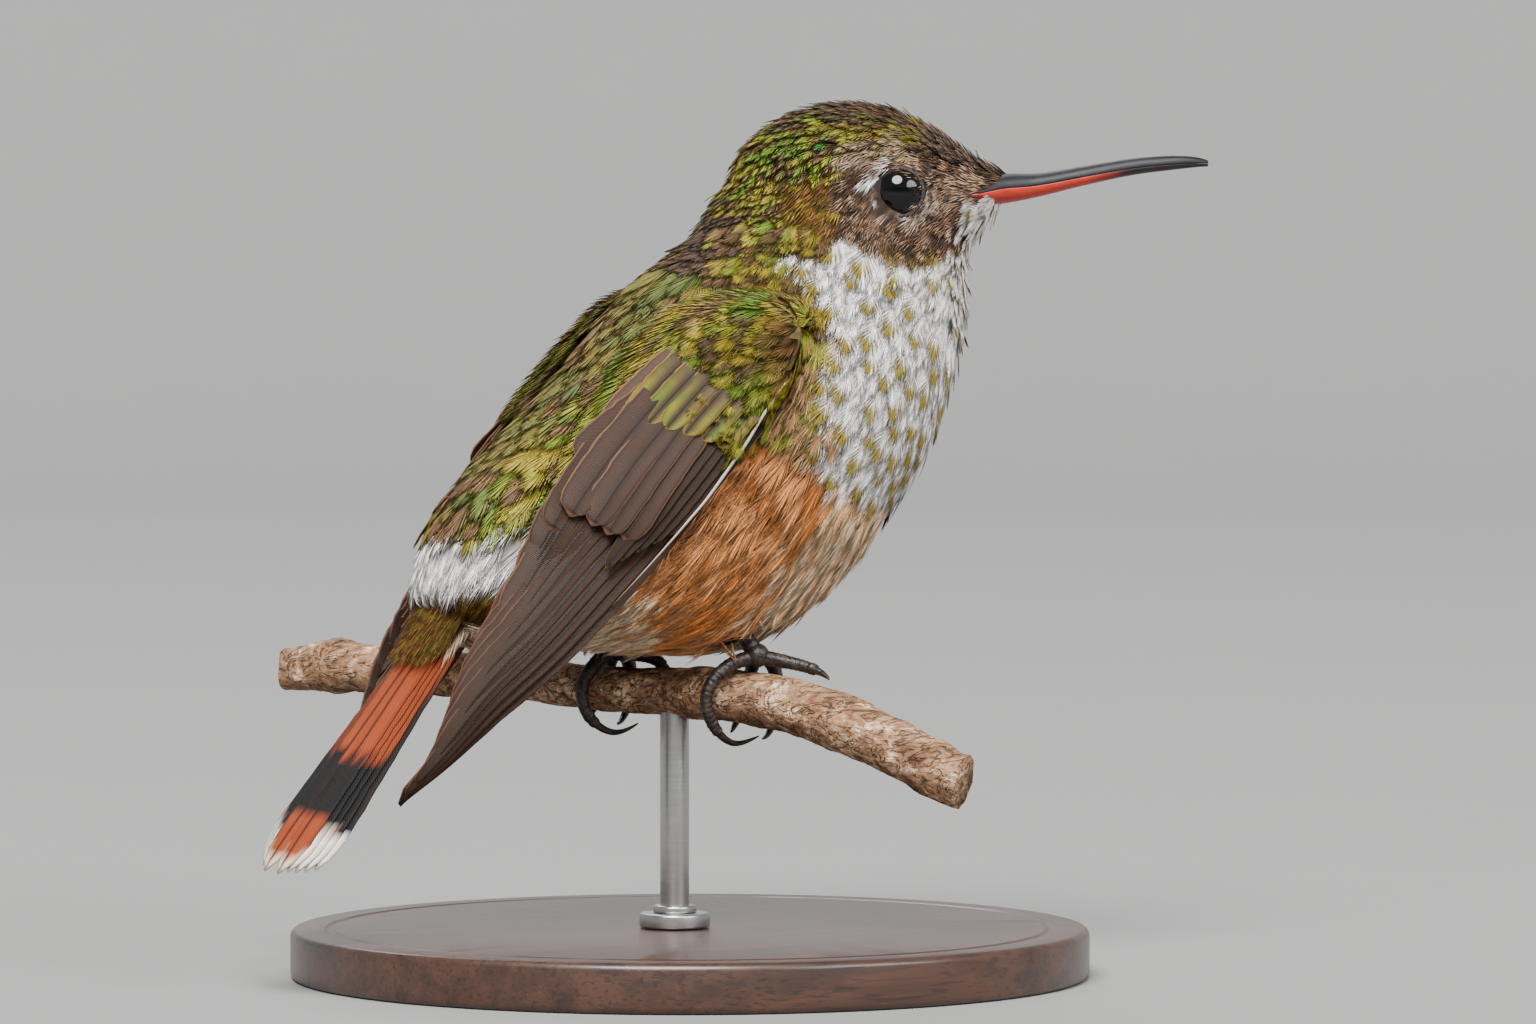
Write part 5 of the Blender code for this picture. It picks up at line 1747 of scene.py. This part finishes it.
def build_mandible(name, upper, material):
    """Half a bill, drawn out station by station from a D-shaped section, then set on the head."""
    stations = [smooth_value(BILL_STATIONS, i / BILL_STEPS) for i in range(BILL_STEPS + 1)]
    sign = 1 if upper else -1
    forward, seam, above, below, half = stations[0]
    bpy.ops.mesh.primitive_circle_add(vertices=24, radius=MM, fill_type="NGON", rotation=(0, math.pi / 2, 0))
    item = bpy.context.object
    bpy.ops.object.transform_apply(location=True, rotation=True, scale=True)
    for vertex in item.data.vertices:
        if vertex.co.z * sign < 0:
            vertex.co.z *= 0.06
    bpy.ops.object.mode_set(mode="EDIT")
    bpy.ops.mesh.select_all(action="SELECT")
    depth = above if upper else below
    seam += sign * MOUTH_GAP / 2
    bpy.ops.transform.resize(value=(1, half, depth), center_override=(0, 0, 0))
    bpy.ops.transform.translate(value=(forward * MM, 0, seam * MM))
    for station in stations[1:]:
        ahead, line, above, below, wide = station
        line += sign * MOUTH_GAP / 2
        deep = above if upper else below
        step = ((ahead - forward) * MM, 0, (line - seam) * MM)
        bpy.ops.mesh.extrude_region_move(TRANSFORM_OT_translate={"value": step})
        centre = (ahead * MM, 0, line * MM)
        bpy.ops.transform.resize(value=(1, wide / half, deep / depth), center_override=centre)
        forward, seam, depth, half = ahead, line, deep, wide
    bpy.ops.object.mode_set(mode="OBJECT")
    clean(item, merge=False)
    item.location = Vector(HEAD_CENTRE) * MM
    item.rotation_euler = (0, 0, math.radians(HEAD_YAW))
    named(item, name)
    apply_modifier(item, "SUBSURF", levels=1, render_levels=1)
    dress(item, material)
    present(item)
    return item


LID_RADIUS = 1.55
LID_BEADS = 34
LID_THICKNESS = 0.15


def build_eye(side, label, bead_size, materials):
    """The eyeball, its ring of lid and the small beads along it."""
    centre = head_point(EYE_PLACE[0], side * EYE_PLACE[1], EYE_PLACE[2])
    axis = HEAD_TURN @ np.array((0, float(side), 0))
    facing = Vector(axis).to_track_quat("Z", "Y").to_euler()
    eyeball = named(ball(EYE_RADIUS, centre, 64, 40, materials[0], facing), "eyeball_" + label)
    turned = np.arccos(np.clip(unit(vertex_places(eyeball) - centre) @ axis, -1, 1)) / math.pi
    point_colours(eyeball, "Iris", turned[:, None])
    present(eyeball)
    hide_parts("eye_" + label)
    rim = math.sqrt(EYE_RADIUS ** 2 - LID_RADIUS ** 2) + 0.05
    bpy.ops.mesh.primitive_torus_add(
        major_radius=LID_RADIUS * MM, minor_radius=LID_THICKNESS * MM, major_segments=72, minor_segments=12,
        location=(centre + axis * rim) * MM, rotation=facing,
    )
    lid = bpy.context.object
    dress(lid, materials[1])
    present(named(lid, "eyelid_" + label))
    beads = []
    up, across = HEAD_TURN @ (0, 0, 1.0), HEAD_TURN @ (1.0, 0, 0)
    rng = np.random.default_rng(17)
    for k in range(LID_BEADS):
        turn = 2 * math.pi * (k + rng.uniform(-0.2, 0.2)) / LID_BEADS
        spoke = up * math.sin(turn) + across * math.cos(turn)
        place = centre + axis * (rim + 0.10) + spoke * (LID_RADIUS + 0.03)
        bpy.ops.mesh.primitive_ico_sphere_add(
            subdivisions=2, radius=rng.uniform(0.5, 1.0) * bead_size, location=place * MM
        )
        beads.append(bpy.context.object)
        dress(beads[-1], materials[2])
    present(joined("eyelid_beads_" + label, beads))

TWIG_STEPS = 240
TWIG_SIDES = 60
TWIG_KNOTS = ((-23.2, 0.22, 0.8), (-22.0, -0.08, 0.5), (0.9, 0.16, 0.7), (10.4, 0.10, 0.9), (15.6, 0.14, 0.7))
BARK_LUMPS = ((1.7, 0.30), (0.6, 0.12), (0.22, 0.05))  # size and depth


def build_twig(bark, cut_wood):
    """The barked twig, with knots, lumps and two sawn ends."""
    first, last = TWIG_STATIONS[0][0], TWIG_STATIONS[-1][0]
    path, radii = [], []
    for i in range(TWIG_STEPS):
        along = first + (last - first) * i / (TWIG_STEPS - 1)
        centre, radius = twig_at(along)
        swell = sum(rise * math.exp(-((along - at) / wide) ** 2) for at, rise, wide in TWIG_KNOTS)
        path.append(centre)
        radii.append(radius - 0.04 + swell)
    item = tube("perch_bark", path, radii, TWIG_SIDES, bark)
    item.data.materials.append(cut_wood)
    select_only(item)
    bpy.ops.object.mode_set(mode="EDIT")
    bpy.ops.mesh.select_all(action="DESELECT")
    bpy.ops.mesh.select_face_by_sides(number=4, type="GREATER")
    item.active_material_index = 1
    bpy.ops.mesh.inset(thickness=0.16 * MM)
    for _ in range(4):
        bpy.ops.mesh.inset(thickness=0.3 * MM)
        bpy.ops.object.material_slot_assign()
    bpy.ops.object.mode_set(mode="OBJECT")
    for number, (size, depth) in enumerate(BARK_LUMPS):
        lumps = bpy.data.textures.new(f"bark_lumps_{number}", "CLOUDS")
        lumps.noise_scale = size * MM
        apply_modifier(item, "DISPLACE", texture=lumps, strength=depth * MM, mid_level=0.5)
    points = vertex_places(item)
    rings = np.zeros((len(points), 3))
    for along in (first, last):
        centre, radius = twig_at(along)
        near = np.linalg.norm(points - centre, axis=1)
        rings[near < radius + 0.5, 0] = near[near < radius + 0.5] / radius
    point_colours(item, "Ring", rings)
    present(item)
    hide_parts("perch_twig")


ROD_RADIUS = 0.95
ROD_SEAT = 1.5
COLLAR_RADIUS = 2.3
COLLAR_HEIGHT = 0.7
TURNED_GROOVES = ((2.2, 0), (0.35, -0.3), (0.35, 0.3))  # step inwards and up, ring by ring


def cylinder(radius, low, high, x, y, sides):
    """A cylinder that stands upright, in metres."""
    bpy.ops.mesh.primitive_cylinder_add(
        vertices=sides, radius=radius, depth=high - low, location=(x, y, (low + high) / 2)
    )
    return bpy.context.object


def finish_turned(item, material):
    """One material, smooth round the axis with sharp edges."""
    item.data.materials.clear()
    item.data.materials.append(material)
    select_only(item)
    bpy.ops.object.shade_smooth_by_angle(angle=math.radians(35))


def build_base(wood, radius, height):
    """The turned base, with a groove in its top and a rounded rim; in metres."""
    item = named(cylinder(radius, 0, height, 0, 0, 160), "stand_base_turned")
    bpy.ops.object.mode_set(mode="EDIT")
    bpy.ops.mesh.select_all(action="DESELECT")
    bpy.ops.object.mode_set(mode="OBJECT")
    for face in item.data.polygons:
        face.select = face.normal.z > 0.9
    bpy.ops.object.mode_set(mode="EDIT")
    for inward, up in TURNED_GROOVES:
        bpy.ops.mesh.inset(thickness=inward * MM)
        bpy.ops.transform.translate(value=(0, 0, up * MM))
    bpy.ops.mesh.inset(thickness=8 * MM)
    bpy.ops.object.mode_set(mode="OBJECT")
    sharp = math.radians(50)
    apply_modifier(item, "BEVEL", width=0.5 * MM, segments=4, limit_method="ANGLE", angle_limit=sharp)
    finish_turned(item, wood)
    present(item)
    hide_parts("stand_base")


def build_rod(steel, base_height):
    """The steel rod from the base into the twig, with its collar."""
    centre, radius = twig_at(ROD_ALONG)
    low, high = base_height - ROD_SEAT, centre[2] - radius + ROD_SEAT
    parts = []
    collar_top = base_height + GAP + COLLAR_HEIGHT
    for wide, bottom, top in (
        (ROD_RADIUS, low, high),
        (COLLAR_RADIUS, base_height + GAP * 0.2, collar_top),
        (ROD_RADIUS * 1.5, collar_top, collar_top + 0.5),
    ):
        part = cylinder(wide * MM, bottom * MM, top * MM, centre[0] * MM, centre[1] * MM, 64)
        apply_modifier(part, "BEVEL", width=0.15 * MM, segments=3, limit_method="ANGLE")
        parts.append(part)
    item = joined("stand_rod_polished", parts)
    finish_turned(item, steel)
    present(item)
    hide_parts("stand_rod")


# ---- stage

CAMERA_DISTANCE = 500.0
CAMERA_TILT = 2.0
CAMERA_LENS = 180.3
CAMERA_AIM = (5.07, 30.225)  # to the right along the view, and up
WORLD_POWER = 0.54
FLOOR_RADIUS = 900.0
WALL_RISE = ((1000.0, 15.0), (1090.0, 60.0), (1160.0, 140.0), (1200.0, 250.0), (1210.0, 450.0))


def outward(turn, tilt):
    """The direction at a turn to the right of -Y and a tilt upwards, in degrees."""
    turn, tilt = math.radians(turn), math.radians(tilt)
    return Vector((math.sin(turn) * math.cos(tilt), -math.cos(turn) * math.cos(tilt), math.sin(tilt)))


def look_back(name, data, centre, away, distance):
    """A camera or light at a distance from a centre, both in metres, that looks back at it."""
    item = bpy.data.objects.new(name, data)
    bpy.context.scene.collection.objects.link(item)
    item.location = centre + away * distance
    item.rotation_euler = (-away).to_track_quat("-Z", "Y").to_euler()
    return item


def build_camera():
    lens = bpy.data.cameras.new("camera")
    lens.lens = CAMERA_LENS
    lens.sensor_width = 36.0
    lens.clip_start = 0.01
    right, up = CAMERA_AIM
    centre = Vector(HEAD_TURN @ (right, 0, 0) + (0, 0, up)) * MM
    away = outward(HEAD_YAW, CAMERA_TILT)
    bpy.context.scene.camera = look_back("camera", lens, centre, away, CAMERA_DISTANCE * MM)


def build_light(name, turn, tilt, distance, size, power, tint):
    lamp = bpy.data.lights.new(name, "AREA")
    lamp.shape = "DISK"
    lamp.size, lamp.energy, lamp.color = size, power, tint
    look_back(name, lamp, Vector((0, 0, 0.035)), outward(turn, tilt), distance)


def build_floor(paper):
    """A round floor whose rim curves up into a wall all round."""
    bpy.ops.mesh.primitive_circle_add(vertices=128, radius=FLOOR_RADIUS * MM, fill_type="NGON")
    item = bpy.context.object
    bpy.ops.object.mode_set(mode="EDIT")
    bpy.ops.mesh.select_all(action="SELECT")
    bpy.ops.mesh.region_to_loop()
    radius, height = FLOOR_RADIUS, 0.0
    for wide, up in WALL_RISE:
        bpy.ops.mesh.extrude_edges_move(TRANSFORM_OT_translate={"value": (0, 0, (up - height) * MM)})
        share = wide / radius
        bpy.ops.transform.resize(value=(share, share, 1), center_override=(0, 0, up * MM))
        radius, height = wide, up
    bpy.ops.object.mode_set(mode="OBJECT")
    dress(named(item, "studio_floor"), paper)


def build_skin(settings):
    workshop["plumage"] = settings
    item, wings = fused_skin(skin_material())
    workshop["skin"], workshop["wings"], workshop["tree"] = item, wings, tree_of(item)
    points = vertex_places(item)
    looks = markings(points, tracts_at(points), 3)
    # The skin's colour: the feathers' colour blended 0.6 towards their dusky roots; its material darkens it
    # further as painted shade.
    point_colours(item, "Plumage", blend(looks["main"], looks["root"], 0.6))
    present(item)
    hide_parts("head", "neck", "trunk")


def build_coat():
    workshop["materials"] = {
        "gloss": plumage_material("iridescent contour feathers", 0.48, 0.2, metallic=0.25),
        "down": plumage_material("soft matt feathers", 0.7, 0.2, sheen=0.06),
    }
    workshop["roots"] = build_roots()
    for name in COAT_PIECES:
        plant_piece(name)
    for side, label in SIDES:
        plant_scapulars(side, label)
    plant_tail_coverts()


def build_wings():
    material = vane_material("flight feather vanes", 90, 0.5)
    for side, name in SIDES:
        feathers = wing_vanes(side) + [leading_edge(side)]
        item = feather_object("wing_feathers_" + name, feathers, material, ("Vane",), ("Plumage", "Edge"))
        present(item)
        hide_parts("wing_" + name)


def build_tail():
    material = vane_material("tail feather vanes", 80, 0.6)
    item = feather_object("tail_feathers", tail_vanes(), material, ("Vane",), ("Plumage", "Edge"))
    present(item)
    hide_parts("tail")


def build_bill(settings):
    black = horn_material("black bill horn", settings.bill_black, linear("#08080a"), (0.75, 1.0), 0.46, 0.24)
    red = horn_material("red bill horn", settings.bill_red, settings.bill_tip, (0.50, 0.66), 0.38, 0.4)
    for name, node, horn in (("upper_mandible", "bill_upper", black), ("lower_mandible", "bill_lower", red)):
        item = build_mandible(name, node == "bill_upper", horn)
        reach = head_frame(vertex_places(item))[0]
        share = (reach - reach.min()) / (reach.max() - reach.min())
        point_colours(item, "Station", share[:, None])
        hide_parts(node)


def build_eyes(settings):
    ball = eyeball_material(settings.iris)
    lid = scute_material("eyelid skin", settings.lid, linear("#2e2622"), 5000.0, 0.6)
    bead = scute_material("eyelid beads", linear("#332d29"), linear("#776d63"), 5000.0, 0.6)
    for side, name in SIDES:
        build_eye(side, name, settings.bead_size, (ball, lid, bead))


def build_feet(settings):
    scale = scute_material("leg scutes", settings.scale_dark, linear("#3d3029"), 2600.0, 0.42)
    claw = scute_material("claw horn", settings.claw_dark, linear("#2a211d"), 1800.0, 0.3)
    for side in ("right", "left"):
        build_foot(side, scale, claw)


def build_stage(settings):
    build_camera()
    build_floor(paper_material(settings))
    build_light("key softbox", -40, 50, 2.4, 1.5, settings.key_power, (1, 0.985, 0.96))
    build_light("front fill", 25, 22, 2.4, 1.8, settings.fill_power, (1, 1, 1))
    build_light("rim light", 165, 45, 2.2, 1.2, 22.0, (0.96, 0.98, 1))
    world = bpy.data.worlds.new("studio")
    bpy.context.scene.world = world
    world.use_nodes = True
    background = world.node_tree.nodes["Background"]
    background.inputs["Color"].default_value = (0.8, 0.8, 0.8, 1)
    background.inputs["Strength"].default_value = WORLD_POWER


# ---- settings and operators


def length(name, description, millimetres):
    return bpy.props.FloatProperty(
        name=name, description=description, default=millimetres * MM, min=0.0, unit="LENGTH", precision=5
    )


def tint(name, description, code):
    return bpy.props.FloatVectorProperty(
        name=name, description=description, default=linear(code), size=3, min=0.0, max=1.0, subtype="COLOR"
    )


class PlumageSettings(bpy.types.PropertyGroup):
    gloss_teal: tint("Gloss teal", "Bluest colour of the iridescent feathers", "#256d58")
    gloss_green: tint("Gloss green", "Green of the iridescent feathers", "#3b8634")
    gloss_lime: tint("Gloss lime", "Yellow-green of the iridescent feathers", "#82a22e")
    gloss_gold: tint("Gloss gold", "Gold of the iridescent feathers", "#c3b33a")
    gloss_bronze: tint("Gloss bronze", "Bronze of the iridescent feathers", "#997d2b")
    gloss_olive: tint("Gloss olive", "Dullest colour of the iridescent feathers", "#624c21")
    dusk: tint("Dusk", "Dark base of the body feathers", "#403124")
    fringe: tint("Fringe", "Brown edge of the body feathers", "#755538")
    white: tint("White", "Throat, breast and rump", "#f2f0ee")
    cinnamon: tint("Cinnamon", "Flanks", "#e59758")
    buff: tint("Buff", "Belly", "#f7cfa1")
    face: tint("Face", "Bristles of the face", "#5a3d2a")
    rufous: tint("Rufous", "Tail feathers", "#863613")
    tail_band: tint("Tail band", "Dark band across the tail", "#0e0d0f")
    feather_size: bpy.props.FloatProperty(
        name="Feather size", description="Length of the body feathers", default=1.0, min=0.5, max=1.5,
        subtype="FACTOR",
    )


class BareSettings(bpy.types.PropertyGroup):
    bill_black: tint("Upper bill", "Horn of the upper mandible", "#15161b")
    bill_red: tint("Lower bill", "Red base of the lower mandible", "#a82c1c")
    bill_tip: tint("Bill tip", "Dark end of the lower mandible", "#1d1312")
    iris: tint("Iris", "Brown of the iris", "#1a0e08")
    lid: tint("Eyelid", "Bare skin round the eye", "#14100e")
    scale_dark: tint("Scales", "Scales of the toes", "#15100f")
    claw_dark: tint("Claws", "Horn of the claws", "#0e0b0b")
    bead_size: length("Lid bead", "Largest radius of a bead on the eyelid", 0.085)


class PerchSettings(bpy.types.PropertyGroup):
    bark: tint("Bark", "Colour of the dry bark", "#98795e")
    bark_pale: tint("Pale bark", "Colour of the flaked patches", "#dcbfa1")
    cut_wood: tint("Cut wood", "Colour of the twig's sawn ends", "#cdb491")
    wood: tint("Stand wood", "Colour of the stained base", "#2a170e")
    steel: tint("Steel", "Colour of the rod", "#b0b0b0")
    base_radius: length("Base radius", "Radius of the turned base", 26.0)
    base_height: length("Base height", "Height of the turned base", 3.2)


class StudioSettings(bpy.types.PropertyGroup):
    paper: tint("Paper", "Colour of the studio floor", "#848484")
    key_power: bpy.props.FloatProperty(
        name="Key light", description="Power of the main softbox", default=178, min=0.0, unit="POWER"
    )
    fill_power: bpy.props.FloatProperty(
        name="Fill light", description="Power of the light in front", default=88, min=0.0, unit="POWER"
    )


class HUMMINGBIRD_OT_skin(bpy.types.Operator):
    """Fuse head, neck and trunk into one skin and paint the plumage's ground colours on it"""

    bl_idname = "hummingbird.skin"
    bl_label = "Skin"

    def execute(self, context):
        build_skin(context.scene.hummingbird_plumage)
        return {"FINISHED"}


class HUMMINGBIRD_OT_coat(bpy.types.Operator):
    """Plant the body feathers over the skin"""

    bl_idname = "hummingbird.coat"
    bl_label = "Body feathers"

    def execute(self, context):
        build_coat()
        return {"FINISHED"}


class HUMMINGBIRD_OT_wings(bpy.types.Operator):
    """Build both folded wings from single flight feathers"""

    bl_idname = "hummingbird.wings"
    bl_label = "Wings"

    def execute(self, context):
        build_wings()
        return {"FINISHED"}


class HUMMINGBIRD_OT_tail(bpy.types.Operator):
    """Build the ten tail feathers"""

    bl_idname = "hummingbird.tail"
    bl_label = "Tail"

    def execute(self, context):
        build_tail()
        return {"FINISHED"}


class HUMMINGBIRD_OT_bill(bpy.types.Operator):
    """Build the two halves of the bill"""

    bl_idname = "hummingbird.bill"
    bl_label = "Bill"

    def execute(self, context):
        build_bill(context.scene.hummingbird_bare)
        return {"FINISHED"}


class HUMMINGBIRD_OT_eyes(bpy.types.Operator):
    """Build the eyeballs, their lids and the beads along them"""

    bl_idname = "hummingbird.eyes"
    bl_label = "Eyes"

    def execute(self, context):
        build_eyes(context.scene.hummingbird_bare)
        return {"FINISHED"}


class HUMMINGBIRD_OT_feet(bpy.types.Operator):
    """Build the scaled legs, toes and claws"""

    bl_idname = "hummingbird.feet"
    bl_label = "Feet"

    def execute(self, context):
        build_feet(context.scene.hummingbird_bare)
        return {"FINISHED"}


class HUMMINGBIRD_OT_twig(bpy.types.Operator):
    """Build the barked twig with its two cut ends"""

    bl_idname = "hummingbird.twig"
    bl_label = "Twig"

    def execute(self, context):
        settings = context.scene.hummingbird_perch
        build_twig(bark_material(settings), cut_wood_material(settings))
        return {"FINISHED"}


class HUMMINGBIRD_OT_stand(bpy.types.Operator):
    """Build the turned base and the steel rod that holds the twig"""

    bl_idname = "hummingbird.stand"
    bl_label = "Stand"

    def execute(self, context):
        settings = context.scene.hummingbird_perch
        build_base(stained_wood_material(settings), settings.base_radius, settings.base_height)
        build_rod(steel_material(settings), settings.base_height / MM)
        return {"FINISHED"}


class HUMMINGBIRD_OT_stage(bpy.types.Operator):
    """Set up the camera, the lights and the pale floor"""

    bl_idname = "hummingbird.stage"
    bl_label = "Studio"

    def execute(self, context):
        build_stage(context.scene.hummingbird_studio)
        return {"FINISHED"}


STEPS = ("skin", "coat", "wings", "tail", "bill", "eyes", "feet", "twig", "stand", "stage")


class VIEW3D_PT_hummingbird(bpy.types.Panel):
    """Lists the settings and the steps of the model"""

    bl_label = "Perched Hummingbird"
    bl_space_type = "VIEW_3D"
    bl_region_type = "UI"
    bl_category = "Hummingbird"

    def draw(self, context):
        for group in SETTINGS:
            settings = getattr(context.scene, group)
            box = self.layout.box()
            for field in settings.bl_rna.properties.keys():
                if field not in ("rna_type", "name"):
                    box.prop(settings, field)
        for step in STEPS:
            self.layout.operator(f"hummingbird.{step}")


SETTINGS = {
    "hummingbird_plumage": PlumageSettings,
    "hummingbird_bare": BareSettings,
    "hummingbird_perch": PerchSettings,
    "hummingbird_studio": StudioSettings,
}
CLASSES = (
    *SETTINGS.values(),
    HUMMINGBIRD_OT_skin,
    HUMMINGBIRD_OT_coat,
    HUMMINGBIRD_OT_wings,
    HUMMINGBIRD_OT_tail,
    HUMMINGBIRD_OT_bill,
    HUMMINGBIRD_OT_eyes,
    HUMMINGBIRD_OT_feet,
    HUMMINGBIRD_OT_twig,
    HUMMINGBIRD_OT_stand,
    HUMMINGBIRD_OT_stage,
    VIEW3D_PT_hummingbird,
)


def register():
    for item in CLASSES:
        bpy.utils.register_class(item)
    for name, group in SETTINGS.items():
        setattr(bpy.types.Scene, name, bpy.props.PointerProperty(type=group))


def unregister():
    for name in SETTINGS:
        delattr(bpy.types.Scene, name)
    for item in reversed(CLASSES):
        bpy.utils.unregister_class(item)


def main():
    register()
    for step in STEPS:
        getattr(bpy.ops.hummingbird, step)()
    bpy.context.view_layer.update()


if __name__ == "__main__":
    main()
